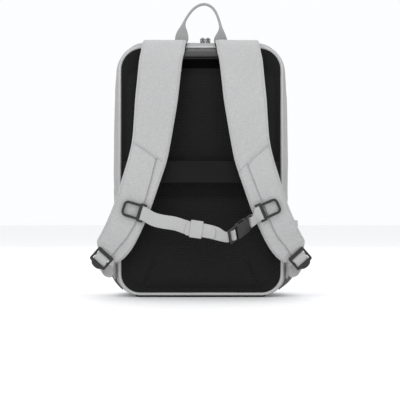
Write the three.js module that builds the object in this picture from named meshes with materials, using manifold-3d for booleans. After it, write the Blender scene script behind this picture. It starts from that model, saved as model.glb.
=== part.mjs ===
// A laptop backpack with its harness: a soft hollow shell with a padded back panel, two shoulder
// straps, a sternum strap, a carry handle, a luggage band and two side pockets.
// Millimetres, +Z up. The harness faces -Y and +X is on the right when it is looked at.
// The origin is the centre of the flat base panel, which the backpack stands on.

import * as THREE from "three";
import { mergeVertices } from "three/addons/utils/BufferGeometryUtils.js";
import Module from "manifold-3d";

const wasm = await Module();
wasm.setup();

// Body
const bodyWidth = 313;
const bodyHeight = 455;
const bodyDepth = 150;
const shellWall = 2.5;
const headRadius = 50;
const footRadius = 45;
const taperStart = 0.6;
const frontLean = 0.25;
const frontCrown = 5;
const frontPanelStart = 0.93;
const seamGap = 0.3;
const layerGap = 0.7;

// Back panel with its pads
const panelThickness = 7;
const padRise = 12;
const pipingWidth = 5;
const padMargin = 10;
const rollHeight = 16;
const rollRise = 11;
const rollLength = 196;
const upperPadTop = 404;
const lowerPadTop = 184;
const channelWidth = 22;
const grooveWidth = 6;
const grooveDepth = 3.5;
const grooveLength = 48;
const grooveReach = 92;
const grooveAngle = 24;

// Luggage band across the back panel
const bandHeight = 39;
const bandBottom = 203;
const bandThickness = 2;
const bandStandoff = 34;
const bandInset = 3;

// Main zip with two sliders
const zipDepth = 40;
const zipWidth = 14;
const zipTape = 0.8;
const teethWidth = 5;
const teethRise = 1;
const zipEndHeight = 170;
const zipMeeting = 8;
const zipSliderLength = 9;
const zipSliderWidth = 8;
const zipSliderHeight = 2.6;
const bailHeight = 4;
const pinRadius = 0.9;
const pinClearance = 0.35;
const pullLength = 24;
const pullWidth = 4.2;
const pullThickness = 1.8;
const pullDroop = 15;
const eyeEnd = 330;

// Base panel
const baseThickness = 3;
const baseWidth = 236;
const baseDepth = 130;
const baseCorner = 22;

// Side pockets
const pocketHeight = 122;
const pocketFoot = 14;
const pocketDepth = 108;
const pocketBack = 12;
const pocketWall = 2;
const pocketBulge = { left: 9, right: 20 };
const pocketMeshHeight = 32;
const pocketMeshDepth = 44;

// Shoulder straps
const strapWidth = 76;
const strapThickness = 9;
const liningThickness = 1.6;
const overlayThickness = 1.6;
const strapStandoff = 54;

// Webbing, sternum strap and plastic hardware
const webbingWidth = 25;
const webbingThickness = 1.5;
const hardwareThickness = 3.2;
const sliderLength = 33;
const sliderWidth = 28;
const sliderRail = 4.2;
const sliderBridge = 5;
const sliderSlot = 3;
const sliderBar = 3;
const sliderHook = 1.5;
const lockLength = 29;
const lockWidth = 34;
const lockRail = 4;
const lockHead = 6;
const lockBar = 4.4;
const lockTab = 6;
const tabHeight = 0.102;
const tabReach = 7;
const buckleWidth = 31;
const buckleThickness = 7.6;
const buckleWall = 1.7;
const buckleBar = 4;
const socketLength = 25;
const prongBase = 12;
const prongLength = 17;
const buckleFit = 0.4;

// Carry handle
const handleSpacing = 70;
const handleHeight = 72;
const handlePlace = 27;
const gripWidth = 13;
const gripThickness = 4.4;

// Places that follow from the sizes
const shellDepth = bodyDepth - padRise;
const backPlane = -shellDepth / 2;
const halfWidth = bodyWidth / 2;
const soleHeight = baseThickness + seamGap;
const panelInset = pipingWidth + 2 * seamGap;
const panelFace = backPlane - pipingWidth + seamGap;
const padFace = backPlane - padRise;
const zipShare = zipDepth / shellDepth;

const finish = {
  shell: { color: 0xb9bab9, roughness: 0.85, metalness: 0 },
  webbing: { color: 0xb3b4b6, roughness: 0.8, metalness: 0 },
  mesh: { color: 0x1c1c1f, roughness: 0.9, metalness: 0 },
  darkCloth: { color: 0x232326, roughness: 0.6, metalness: 0 },
  pocketMesh: { color: 0x55574f, roughness: 0.9, metalness: 0 },
  base: { color: 0x3a3b3d, roughness: 0.9, metalness: 0 },
  plastic: { color: 0x1b1c1e, roughness: 0.4, metalness: 0 },
  zip: { color: 0x6f7072, roughness: 0.6, metalness: 0 },
  metal: { color: 0x5a5b5d, roughness: 0.35, metalness: 1 },
};

const group = new THREE.Group();

function add(name, geometry, look) {
  const mesh = new THREE.Mesh(geometry, new THREE.MeshStandardMaterial(look));
  mesh.name = name;
  group.add(mesh);
}

function at(x, y, z) {
  return new THREE.Vector3(x, y, z);
}

function mix(a, b, share) {
  return a + (b - a) * share;
}

// Read a table at any place of its first column, with straight lines between the rows.
function readTable(table, key, place) {
  const last = table.length - 1;
  const next = Math.min(Math.max(table.findIndex((row) => row[key] > place), 1), last);
  const row = place >= table[last][key] ? last : next;
  const [a, b] = [table[row - 1], table[row]];
  const share = (place - a[key]) / (b[key] - a[key]);
  return Object.fromEntries(Object.keys(a).map((name) => [name, mix(a[name], b[name], share)]));
}

// A closed geometry from points and triangles, turned so that its faces look outward.
function solid(points, faces) {
  const a = at(0, 0, 0);
  const volume = faces.reduce((sum, [i, j, k]) => {
    a.crossVectors(points[j], points[k]);
    return sum + points[i].dot(a);
  }, 0);
  const turned = volume < 0 ? faces.map(([i, j, k]) => [i, k, j]) : faces;
  const geometry = new THREE.BufferGeometry();
  const positions = points.flatMap((point) => [point.x, point.y, point.z]);
  geometry.setAttribute("position", new THREE.Float32BufferAttribute(positions, 3));
  geometry.setIndex(turned.flat());
  geometry.computeVertexNormals();
  return geometry;
}

// The middle of a ring of points.
function ringMiddle(ring) {
  return ring.reduce((sum, point) => sum.add(point), at(0, 0, 0)).divideScalar(ring.length);
}

// Skin over a list of equal rings: open lists are capped, closed lists run back to the start.
function skin(rings, closed = false) {
  const size = rings[0].length;
  const points = rings.flat();
  const faces = [];
  const spans = closed ? rings.length : rings.length - 1;
  for (let row = 0; row < spans; row++) {
    const here = row * size;
    const there = ((row + 1) % rings.length) * size;
    for (let i = 0; i < size; i++) {
      const j = (i + 1) % size;
      faces.push([here + i, there + i, there + j], [here + i, there + j, here + j]);
    }
  }
  if (!closed) {
    const end = (rings.length - 1) * size;
    points.push(ringMiddle(rings[0]), ringMiddle(rings[rings.length - 1]));
    for (let i = 0; i < size; i++) {
      const j = (i + 1) % size;
      faces.push([points.length - 2, i, j], [points.length - 1, end + j, end + i]);
    }
  }
  return solid(points, faces);
}

// A curved sheet with a thickness over a grid of places; cells that keep() refuses are left out.
function sheet(grid, thickness, keep = () => true) {
  const [rows, columns] = [grid.length, grid[0].length];
  const outer = grid.flat().map(({ point, normal }) => {
    return point.clone().addScaledVector(normal, thickness);
  });
  const points = [...grid.flat().map(({ point }) => point), ...outer];
  const lift = rows * columns;
  const held = (i, j) => i >= 0 && j >= 0 && i < rows - 1 && j < columns - 1 && keep(i, j);
  const faces = [];
  const wall = (a, b) => faces.push([a, b, b + lift], [a, b + lift, a + lift]);
  for (let i = 0; i < rows - 1; i++) {
    for (let j = 0; j < columns - 1; j++) {
      if (!held(i, j)) continue;
      const [a, b] = [i * columns + j, i * columns + j + 1];
      const [c, d] = [b + columns, a + columns];
      faces.push([a, c, b], [a, d, c]);
      faces.push([a + lift, b + lift, c + lift], [a + lift, c + lift, d + lift]);
      if (!held(i - 1, j)) wall(a, b);
      if (!held(i, j + 1)) wall(b, c);
      if (!held(i + 1, j)) wall(c, d);
      if (!held(i, j - 1)) wall(d, a);
    }
  }
  const used = [...new Set(faces.flat())];
  const place = new Map(used.map((index, order) => [index, order]));
  return solid(used.map((i) => points[i]), faces.map((face) => face.map((i) => place.get(i))));
}

// Manifold solids for the cuts and joins.
function toManifold(geometry) {
  const plain = new THREE.BufferGeometry();
  plain.setAttribute("position", geometry.getAttribute("position"));
  plain.setIndex(geometry.getIndex());
  const merged = mergeVertices(plain, 1e-4);
  const vertProperties = new Float32Array(merged.getAttribute("position").array);
  const triVerts = new Uint32Array(merged.getIndex().array);
  return new wasm.Manifold(new wasm.Mesh({ numProp: 3, vertProperties, triVerts }));
}

function fromManifold(manifold) {
  const mesh = manifold.getMesh();
  const geometry = new THREE.BufferGeometry();
  geometry.setAttribute("position", new THREE.BufferAttribute(mesh.vertProperties, 3));
  geometry.setIndex(new THREE.BufferAttribute(mesh.triVerts, 1));
  geometry.computeVertexNormals();
  return geometry;
}

// A flat outline with holes, extruded evenly about its middle plane.
function plate(outline, thickness, holes = []) {
  const shape = new THREE.Shape(outline);
  holes.forEach((hole) => shape.holes.push(new THREE.Path(hole)));
  const geometry = new THREE.ExtrudeGeometry(shape, { depth: thickness, bevelEnabled: false });
  return geometry.translate(0, 0, -thickness / 2);
}

function arc(x, y, radius, from, to, steps = 6) {
  return Array.from({ length: steps + 1 }, (_, i) => {
    const angle = THREE.MathUtils.degToRad(mix(from, to, i / steps));
    return new THREE.Vector2(x + radius * Math.cos(angle), y + radius * Math.sin(angle));
  });
}

function roundedRect(width, height, radius, steps = 3) {
  const [x, y] = [width / 2 - radius, height / 2 - radius];
  return [
    ...arc(x, -y, radius, -90, 0, steps),
    ...arc(x, y, radius, 0, 90, steps),
    ...arc(-x, y, radius, 90, 180, steps),
    ...arc(-x, -y, radius, 180, 270, steps),
  ];
}

// Stand a flat piece in space: its own X, Y and Z run along the three given directions.
function stand(geometry, { origin, along, across, normal }) {
  const basis = new THREE.Matrix4().makeBasis(along, across, normal).setPosition(origin);
  const plain = mergeVertices(geometry.clone().deleteAttribute("uv").deleteAttribute("normal"), 1e-4);
  const positions = plain.applyMatrix4(basis).getAttribute("position");
  const points = Array.from({ length: positions.count }, (_, i) => {
    return at(0, 0, 0).fromBufferAttribute(positions, i);
  });
  const index = Array.from(plain.getIndex().array);
  const faces = Array.from({ length: index.length / 3 }, (_, i) => index.slice(3 * i, 3 * i + 3));
  return solid(points, faces);
}

// The shell in sections from the back seam to the front: shares of the body's width and height,
// of the corner radii, and of the sole's lift.
const shellSections = [
  { depth: 0, width: 0.937, crown: 0.983, round: 0.86, lift: 0 },
  { depth: 0.08, width: 0.972, crown: 0.991, round: 0.92, lift: 0 },
  { depth: 0.22, width: 0.994, crown: 0.999, round: 1, lift: 0 },
  { depth: 0.45, width: 1, crown: 1, round: 1, lift: 0 },
  { depth: 0.75, width: 0.993, crown: 0.996, round: 1, lift: 0 },
  { depth: 0.9, width: 0.968, crown: 0.984, round: 0.95, lift: 0.004 },
  { depth: 0.93, width: 0.956, crown: 0.978, round: 0.93, lift: 0.008 },
  { depth: 1, width: 0.905, crown: 0.955, round: 0.85, lift: 0.025 },
];

// Towards the top every section narrows down to the width of the back seam.
function narrowing(z, width) {
  const share = Math.max(z / bodyHeight - taperStart, 0) / (1 - taperStart);
  return 1 - (width - shellSections[0].width) * share * share;
}

function shellY(depthShare, z) {
  const share = Math.min(Math.max(z / bodyHeight, 0), 1);
  return backPlane + shellDepth * depthShare * (1 - frontLean * share * share);
}

function sectionAt(depthShare, inset) {
  const row = readTable(shellSections, "depth", depthShare);
  return {
    width: row.width,
    reach: row.width * halfWidth - inset,
    crown: row.crown * bodyHeight - inset,
    sole: soleHeight + row.lift * bodyHeight + inset,
    head: headRadius * row.round - inset,
    foot: footRadius * row.round - inset,
  };
}

// One section's outline, as points from the middle of the sole round to the middle again.
function outline(depthShare, inset = 0) {
  const { reach, crown, sole, head, foot } = sectionAt(depthShare, inset);
  const side = [0.38, 0.62, 0.76].map((share) => new THREE.Vector2(reach, share * bodyHeight));
  const right = [
    ...arc(reach - foot, sole + foot, foot, -90, 0),
    ...side,
    ...arc(reach - head, crown - head, head, 0, 90),
  ];
  const left = right.map(({ x, y }) => new THREE.Vector2(-x, y)).reverse();
  return [...right, new THREE.Vector2(0, crown), ...left, new THREE.Vector2(0, sole)];
}

function shellRing(depthShare, inset = 0) {
  const { width } = sectionAt(depthShare, 0);
  return outline(depthShare, inset).map(({ x, y: z }) => {
    return at(x * narrowing(z, width), shellY(depthShare, z), z);
  });
}

// The body's side at a depth share and a height, with its outward direction.
function sidePlace(side, depthShare, z) {
  const reachAt = (share, height) => {
    const { width, reach, sole, foot } = sectionAt(share, 0);
    const below = Math.max(sole + foot - height, 0);
    return (reach - foot + Math.sqrt(foot * foot - below * below)) * narrowing(height, width);
  };
  const place = (share, height) => at(side * reachAt(share, height), shellY(share, height), height);
  const step = 0.02;
  const point = place(depthShare, z);
  const alongDepth = place(depthShare + step, z).sub(place(depthShare - step, z));
  const alongHeight = place(depthShare, z + 1).sub(place(depthShare, z - 1));
  const normal = at(0, 0, 0).crossVectors(alongDepth, alongHeight).normalize();
  return { point, normal: normal.x * side < 0 ? normal.negate() : normal };
}

// A wall that runs right round the body between two depth shares.
function shellBand(from, to) {
  const between = shellSections.map((row) => row.depth).filter((d) => d > from && d < to);
  const shares = [from, ...between, to];
  const inner = shares.slice().reverse().map((share) => shellRing(share, shellWall));
  return skin([...shares.map((share) => shellRing(share)), ...inner], true);
}

function frontPanel() {
  const front = (inset, forward, scale) => shellRing(1, inset).map((point) => {
    const middle = bodyHeight / 2;
    const z = middle + (point.z - middle) * scale;
    return at(point.x * scale, shellY(1, z) + forward, z);
  });
  const start = frontPanelStart + seamGap / shellDepth;
  return skin([
    front(0, frontCrown, 0.45),
    front(0, frontCrown * 0.6, 0.8),
    shellRing(1),
    shellRing(start),
    shellRing(start, shellWall),
    front(shellWall, -shellWall, 1),
    front(shellWall, frontCrown * 0.6 - shellWall, 0.8),
    front(shellWall, frontCrown - shellWall, 0.45),
  ]);
}

// A rounded rectangle on the back panel, as a ring at its own distance behind the body.
function panelRing(reach, low, high, radius, y) {
  const middle = (low + high) / 2;
  return roundedRect(2 * reach, high - low, radius, 6).map(({ x, y: rise }) => {
    const z = middle + rise;
    return at(x, y, z);
  });
}

// A pad with a soft edge: each row gives its inset and its share of the rise.
const padSteps = [
  { inset: 0, rise: -0.3 },
  { inset: 0, rise: 0.15 },
  { inset: 4, rise: 0.62 },
  { inset: 11, rise: 0.9 },
  { inset: 26, rise: 1 },
];

function pad(low, high, headCorner) {
  const reach = sectionAt(0, panelInset).reach - padMargin;
  const rings = padSteps.map(({ inset, rise }) => {
    const radius = Math.max(headCorner - inset, 6);
    return panelRing(reach - inset, low + inset, high - inset, radius, mix(panelFace, padFace, rise));
  });
  return toManifold(skin(rings));
}

function topRoll(topHeight) {
  const rings = [-1, -0.94, -0.8, 0.8, 0.94, 1].map((share) => {
    const size = share === 1 || share === -1 ? 0.55 : 1;
    return arc(0, 0, 1, 0, 360, 12).slice(1).map(({ x, y }) => {
      const rearward = rollRise * size * y;
      return at(share * rollLength / 2, panelFace - rearward, topHeight + rollHeight / 2 * size * x);
    });
  });
  return toManifold(skin(rings));
}

function panelGroove(side, bottom) {
  const box = plate(roundedRect(grooveLength, grooveWidth, grooveWidth / 3), 2 * grooveDepth);
  const angle = THREE.MathUtils.degToRad(90 + side * grooveAngle);
  const along = at(Math.cos(angle), 0, Math.sin(angle));
  const across = at(-Math.sin(angle), 0, Math.cos(angle));
  const origin = at(side * grooveReach, padFace, bottom + grooveLength / 2);
  const normal = at(0, 0, 0).crossVectors(along, across);
  return toManifold(stand(box, { origin, along, across, normal }));
}

function backPanel() {
  const { crown, sole } = sectionAt(0, panelInset);
  const slab = skin([panelFace, panelFace + panelThickness].map((y) => {
    return outline(0, panelInset).map(({ x, y: z }) => at(x, y, z));
  }));
  const upperLow = lowerPadTop + channelWidth;
  let panel = toManifold(slab)
    .add(pad(upperLow, upperPadTop, 26))
    .add(pad(sole + padMargin - 2, lowerPadTop, 34))
    .add(topRoll(crown - rollHeight / 2 - 1));
  [-1, 1].forEach((side) => {
    panel = panel.subtract(panelGroove(side, sole + padMargin));
  });
  return fromManifold(panel);
}

function piping() {
  const centre = seamGap + pipingWidth / 2;
  const y = backPlane - seamGap - pipingWidth / 2;
  const rings = arc(0, 0, pipingWidth / 2, 0, 360, 8).slice(1).map((place) => {
    return outline(0, centre + place.x).map(({ x, y: z }) => at(x, y + place.y, z));
  });
  return skin(rings, true);
}

function basePanel() {
  const flat = plate(roundedRect(baseWidth, baseDepth, baseCorner, 5), baseThickness);
  return flat.translate(0, 0, baseThickness / 2);
}

// A strip along a path: each row has a centre, a half-width direction, a normal and a thickness,
// and the profile gives the strip's underside and face as shares of the thickness.
const flatProfile = [
  { across: -1, under: -0.5, face: 0.5 },
  { across: 0, under: -0.5, face: 0.5 },
  { across: 1, under: -0.5, face: 0.5 },
];

function ribbon(rows, profile = flatProfile) {
  const place = (row, across, level) => row.centre.clone()
    .addScaledVector(row.across, across)
    .addScaledVector(row.normal, level * row.thickness);
  return skin(rows.map((row) => [
    ...profile.map((column) => place(row, column.across, column.face)),
    ...profile.slice().reverse().map((column) => place(row, column.across, column.under)),
  ]));
}

// Rows for a strip from a list of centres with half-width directions.
function ribbonRows(places, thickness) {
  return places.map(({ centre, across }, i) => {
    const before = places[Math.max(i - 1, 0)].centre;
    const after = places[Math.min(i + 1, places.length - 1)].centre;
    const tangent = after.clone().sub(before).normalize();
    const normal = at(0, 0, 0).crossVectors(tangent, across).normalize();
    return { centre, across, normal, thickness };
  });
}

// The main zip: tape and teeth in one strip, over the top and down both sides.
const zipProfile = [
  { across: -1, under: 0, face: 1 },
  { across: -teethWidth / zipWidth, under: 0, face: 1 },
  { across: -teethWidth / zipWidth * 0.8, under: 0, face: 1 + teethRise / zipTape },
  { across: teethWidth / zipWidth * 0.8, under: 0, face: 1 + teethRise / zipTape },
  { across: teethWidth / zipWidth, under: 0, face: 1 },
  { across: 1, under: 0, face: 1 },
];

function mainZip() {
  const line = shellRing(zipShare, -seamGap).filter((point) => point.z > zipEndHeight - 1);
  const places = line.map((centre) => ({ centre, across: at(0, zipWidth / 2, 0) }));
  const rows = ribbonRows(places, zipTape).map((row) => {
    const outward = row.normal.dot(at(row.centre.x, 0, row.centre.z - bodyHeight / 2)) > 0;
    return outward ? row : { ...row, normal: row.normal.negate() };
  });
  return ribbon(rows, zipProfile);
}

// The place of a zip slider on the top of the shell.
function zipTop(x) {
  const { crown } = sectionAt(zipShare, 0);
  const rise = seamGap + zipTape + teethRise + seamGap;
  return at(x, shellY(zipShare, crown), crown + rise);
}

function zipSlider(x) {
  const base = zipTop(x);
  const length = zipSliderLength;
  const slab = plate(roundedRect(length, zipSliderWidth, 1.5, 2), zipSliderHeight)
    .translate(0, 0, zipSliderHeight / 2);
  const post = plate(roundedRect(1.6, 2 * pinRadius, 0.4, 1), bailHeight);
  const lift = zipSliderHeight - 0.1 + bailHeight / 2;
  const posts = [-1, 1].map((side) => toManifold(
    post.clone().translate(side * (length - 1.6) / 2, 0, lift)));
  const pin = plate(arc(0, 0, pinRadius, 0, 360, 8).slice(1), length - 1.6).rotateY(Math.PI / 2)
    .translate(0, 0, zipSliderHeight + bailHeight - pinRadius);
  const body = toManifold(slab).add(posts[0]).add(posts[1]).add(toManifold(pin));
  return fromManifold(body).translate(base.x, base.y, base.z);
}

// A pull tab hangs on the slider's bail and lies over the front of the body.
function zipPull(x) {
  const base = zipTop(x);
  const eye = pinRadius + pinClearance + pullThickness * 0.75;
  const join = pullThickness / 2;
  const start = Math.sqrt(eye * eye - join * join);
  const shape = [
    ...arc(0, 0, eye, THREE.MathUtils.radToDeg(Math.atan2(join, start)), eyeEnd, 14),
    new THREE.Vector2(start, -join),
    new THREE.Vector2(pullLength - join, -join),
    new THREE.Vector2(pullLength, 0),
    new THREE.Vector2(pullLength - join, join),
  ];
  const hole = arc(0, 0, pinRadius + pinClearance, 0, 360, 10).slice(1);
  const droop = THREE.MathUtils.degToRad(pullDroop);
  const along = at(0, Math.cos(droop), -Math.sin(droop));
  const across = at(0, Math.sin(droop), Math.cos(droop));
  const origin = base.clone().add(at(0, 0, zipSliderHeight + bailHeight - pinRadius));
  return stand(plate(shape, pullWidth, [hole]), { origin, along, across, normal: at(1, 0, 0) });
}

// The luggage band: reach along its half-length and its share of the standoff.
const bandRows = [
  { reach: 1, standoff: 0 },
  { reach: 0.95, standoff: 0.18 },
  { reach: 0.7, standoff: 0.95 },
  { reach: 0.5, standoff: 1 },
  { reach: 0, standoff: 1 },
];

function luggageBand() {
  const end = sectionAt(0, panelInset).reach - bandInset;
  const near = panelFace - seamGap - bandThickness / 2;
  const far = backPlane - bandStandoff;
  const half = bandRows.map(({ reach, standoff }) => ({
    x: reach * end,
    y: mix(near, far, standoff),
  }));
  const line = [...half.map(({ x, y }) => ({ x: -x, y })), ...half.slice(0, -1).reverse()];
  const places = line.map(({ x, y }) => ({
    centre: at(x, y, bandBottom + bandHeight / 2),
    across: at(0, 0, bandHeight / 2),
  }));
  return ribbon(ribbonRows(places, bandThickness));
}

// A shoulder strap from its root over the top edge to its lower tip: shares of the half body width,
// the body height, the strap width, the standoff and the thickness, and its slant in degrees.
const strapSections = [
  { row: 0, reach: 0.4011, height: 1.004, width: 0.97, slant: 0, standoff: -0.26, fill: 0.4 },
  { row: 1, reach: 0.4051, height: 1.002, width: 1, slant: 0, standoff: -0.1, fill: 0.6 },
  { row: 2, reach: 0.4112, height: 0.9965, width: 1.01, slant: 0, standoff: 0.12, fill: 0.85 },
  { row: 3, reach: 0.4203, height: 0.98, width: 1.01, slant: 0, standoff: 0.31, fill: 1 },
  { row: 4, reach: 0.4304, height: 0.954, width: 1.01, slant: 0, standoff: 0.45, fill: 1 },
  { row: 5, reach: 0.4517, height: 0.916, width: 1, slant: 0, standoff: 0.58, fill: 1 },
  { row: 6, reach: 0.474, height: 0.84, width: 0.99, slant: 0, standoff: 0.71, fill: 1 },
  { row: 7, reach: 0.4963, height: 0.7646, width: 0.98, slant: 1, standoff: 0.81, fill: 1 },
  { row: 8, reach: 0.5216, height: 0.685, width: 0.93, slant: 2, standoff: 0.89, fill: 1 },
  { row: 9, reach: 0.551, height: 0.605, width: 0.885, slant: 4, standoff: 0.96, fill: 1 },
  { row: 10, reach: 0.5935, height: 0.535, width: 0.88, slant: 8, standoff: 1, fill: 1 },
  { row: 11, reach: 0.6725, height: 0.449, width: 0.855, slant: 13, standoff: 1.02, fill: 1 },
  { row: 12, reach: 0.7697, height: 0.35, width: 0.83, slant: 20, standoff: 0.98, fill: 1 },
  { row: 13, reach: 0.875, height: 0.267, width: 0.815, slant: 25, standoff: 0.87, fill: 1 },
  { row: 14, reach: 0.9469, height: 0.2213, width: 0.8, slant: 28, standoff: 0.72, fill: 0.95 },
  { row: 15, reach: 1.0148, height: 0.1884, width: 0.74, slant: 34, standoff: 0.63, fill: 0.85 },
  { row: 16, reach: 1.0543, height: 0.1686, width: 0.56, slant: 42, standoff: 0.56, fill: 0.7 },
];
const strapEnd = strapSections.length - 1;

// The strap's middle surface at a row and a place across it: -1 is the outer edge, 1 the inner one.
function strapPlace(side, row, across = 0) {
  const section = (place) => readTable(strapSections, "row", Math.min(Math.max(place, 0), strapEnd));
  const centreAt = ({ reach, height, standoff }) => at(
    side * reach * halfWidth, backPlane - standoff * strapStandoff, height * bodyHeight);
  const here = section(row);
  const slant = THREE.MathUtils.degToRad(here.slant);
  const rightward = at(Math.cos(slant), 0, side * Math.sin(slant));
  const run = centreAt(section(row + 0.5)).sub(centreAt(section(row - 0.5)));
  const normal = at(0, 0, 0).crossVectors(run, rightward).normalize();
  const half = here.width * strapWidth / 2;
  const inward = rightward.clone().multiplyScalar(-side);
  const centre = centreAt(here).addScaledVector(inward, across * half);
  return { centre, inward, normal, half, fill: here.fill };
}

// One layer of a strap between two places across it, lifted off its middle surface.
function strapLayer(side, { rows, low, high, thickness, lift }, profile) {
  const places = rows.map(([outerRow, innerRow]) => {
    const far = high(innerRow);
    const a = strapPlace(side, outerRow, low);
    const b = strapPlace(side, innerRow, far);
    const middle = strapPlace(side, (outerRow + innerRow) / 2, (low + far) / 2);
    const raise = lift(middle.fill);
    const centre = a.centre.clone().add(b.centre).multiplyScalar(0.5);
    return {
      centre: centre.addScaledVector(middle.normal, raise),
      across: b.centre.clone().sub(a.centre).multiplyScalar(0.5 * -side),
      normal: middle.normal,
      thickness: thickness(middle.fill),
    };
  });
  return ribbon(places, profile);
}

const padProfile = [
  { across: -1, under: -0.22, face: 0.16 },
  { across: -0.93, under: -0.42, face: 0.36 },
  { across: -0.72, under: -0.5, face: 0.48 },
  { across: 0, under: -0.5, face: 0.5 },
  { across: 0.72, under: -0.5, face: 0.48 },
  { across: 0.93, under: -0.42, face: 0.36 },
  { across: 1, under: -0.22, face: 0.16 },
];

const everyRow = strapSections.map(({ row }) => [row, row]);
const overlayStart = [9.15, 9.9];
const overlayRows = [overlayStart, [10, 10.3], ...everyRow.slice(11)];
const overlayLow = -0.93;
const overlayEdge = [
  { row: 9, left: 0.46, right: 0.46 },
  { row: 10.2, left: 0.48, right: 0.44 },
  { row: 11, left: 0.56, right: 0.4 },
  { row: 12, left: 0.6, right: 0.3 },
  { row: 13, left: 0.5, right: 0.32 },
  { row: 14.4, left: 0.34, right: 0.2 },
  { row: 16, left: 0.42, right: 0.34 },
];

function shoulderStrap(side) {
  return strapLayer(side, {
    rows: everyRow,
    low: -1,
    high: () => 1,
    thickness: (fill) => fill * strapThickness,
    lift: () => 0,
  }, padProfile);
}

function strapLining(side) {
  return strapLayer(side, {
    rows: everyRow,
    low: -1,
    high: () => 1,
    thickness: () => liningThickness,
    lift: (fill) => -(fill * strapThickness + liningThickness) / 2 - layerGap,
  });
}

function strapOverlay(side) {
  return strapLayer(side, {
    rows: overlayRows,
    low: overlayLow,
    high: (row) => readTable(overlayEdge, "row", row)[side < 0 ? "left" : "right"],
    thickness: () => overlayThickness,
    lift: (fill) => (fill * strapThickness + overlayThickness) / 2 + layerGap,
  });
}

// A frame on the strap's face: along runs inboard, across runs up the strap.
function strapFrame(side, row, across, lift, turn) {
  const { centre, normal } = strapPlace(side, row, across);
  const angle = THREE.MathUtils.degToRad(turn);
  const along = at(-side * Math.cos(angle), 0, -Math.sin(angle));
  along.addScaledVector(normal, -along.dot(normal)).normalize();
  const upward = at(0, 0, 0).crossVectors(normal, along).normalize();
  return { origin: centre.clone().addScaledVector(normal, lift), along, across: upward, normal };
}

const sternumPlaces = {
  left: { side: -1, row: 12.05, across: 0.05, turn: 17 },
  right: { side: 1, row: 12, across: -0.01, turn: 24 },
};

function sternumFrame({ side, row, across, turn }) {
  const stack = strapThickness / 2 + overlayThickness + layerGap + seamGap;
  const loop = hardwareThickness / 2 + webbingThickness + seamGap;
  return strapFrame(side, row, across, stack + loop, turn);
}

// A sternum slider: a ring over the strap's overlay, and beyond its bridge a bar for the webbing.
function sternumSlider(place) {
  const [half, wide] = [sliderLength / 2, sliderWidth / 2];
  const slotHalf = webbingWidth / 2 + 0.7;
  const postHalf = slotHalf + sliderBar;
  const barEnd = half + sliderSlot + sliderBar;
  const [hookEnd, neck] = [barEnd + sliderHook, half - sliderBridge];
  const point = (x, y) => new THREE.Vector2(x, y);
  const round = wide * 0.6;
  const innerRound = round - sliderRail;
  const ring = [
    ...arc(-half + round, -wide + round, round, 180, 270, 5),
    point(neck, -wide),
    point(half - sliderBar, -postHalf),
    point(hookEnd, -postHalf),
    point(hookEnd, -slotHalf),
    point(barEnd, -slotHalf),
    point(barEnd, slotHalf),
    point(hookEnd, slotHalf),
    point(hookEnd, postHalf),
    point(half - sliderBar, postHalf),
    point(neck, wide),
    ...arc(-half + round, wide - round, round, 90, 180, 5),
  ];
  const window = [
    ...arc(-half + round, -wide + round, innerRound, 180, 270, 4),
    point(neck, -wide + sliderRail),
    point(neck, wide - sliderRail),
    ...arc(-half + round, wide - round, innerRound, 90, 180, 4),
  ];
  const slot = [
    point(half, -slotHalf),
    point(half + sliderSlot, -slotHalf),
    point(half + sliderSlot, slotHalf),
    point(half, slotHalf),
  ];
  return stand(plate(ring, hardwareThickness, [window, slot]), sternumFrame(place));
}

// Rows of webbing that comes up from its tail, turns round a bar and leaves on its face. The bar
// starts at its window side and runs in the direction that the webbing leaves in.
function wrapRows(frame, barStart, direction, tail = 7) {
  const level = (hardwareThickness + webbingThickness) / 2 + seamGap;
  const turn = webbingThickness + 0.25;
  return [
    [hardwareThickness + tail, -level],
    [0.2, -level],
    [-0.68 * turn, -0.81 * level],
    [-turn, -0.3 * level],
    [-turn, 0.3 * level],
    [-0.68 * turn, 0.81 * level],
    [0.2, level],
    [hardwareThickness + 3, level],
  ].map(([run, rise]) => {
    const row = frameRow(frame, barStart + direction * run);
    row.centre.addScaledVector(frame.normal, rise);
    return row;
  });
}

function frameRow({ origin, along, across }, place) {
  return {
    centre: origin.clone().addScaledVector(along, place),
    across: across.clone().multiplyScalar(Math.sign(across.z) * webbingWidth / 2),
  };
}

// The buckle hangs turned between the two halves of the sternum webbing: it turns in the plane of
// the back, pitches its left end rearward and rolls about its own length.
const bucklePlace = { reach: 0.4861, height: 0.2815, depth: 17, turn: 36, pitch: 25, roll: 48 };

function buckleFrame() {
  const { reach, height, depth, turn, pitch, roll } = bucklePlace;
  const [a, p, b] = [turn, pitch, roll].map(THREE.MathUtils.degToRad);
  const flat = at(-Math.sin(a), 0, Math.cos(a));
  const level = at(Math.cos(a), 0, Math.sin(a));
  const forward = at(0, 1, 0);
  const along = level.clone().multiplyScalar(Math.cos(p)).addScaledVector(forward, Math.sin(p));
  const inward = forward.multiplyScalar(Math.cos(p)).addScaledVector(level, -Math.sin(p));
  return {
    origin: at(reach * halfWidth, backPlane - strapStandoff - depth, height * bodyHeight),
    along,
    across: flat.clone().multiplyScalar(Math.cos(b)).addScaledVector(inward, -Math.sin(b)),
    normal: flat.clone().multiplyScalar(-Math.sin(b)).addScaledVector(inward, -Math.cos(b)),
  };
}

function block(x0, x1, y0, y1, thickness, corner = 0.6) {
  const flat = plate(roundedRect(x1 - x0, y1 - y0, corner, 2), thickness);
  return toManifold(flat.translate((x0 + x1) / 2, (y0 + y1) / 2, 0));
}

const mouth = 5;
const buckleHalf = buckleWidth / 2;
const barWindow = webbingThickness * 2 + 2.2;
const socketBack = mouth - socketLength;
const loopBar = socketBack - barWindow;
const barOuter = loopBar - hardwareThickness - barWindow - buckleBar;
const prongFar = mouth + seamGap + prongBase;

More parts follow.
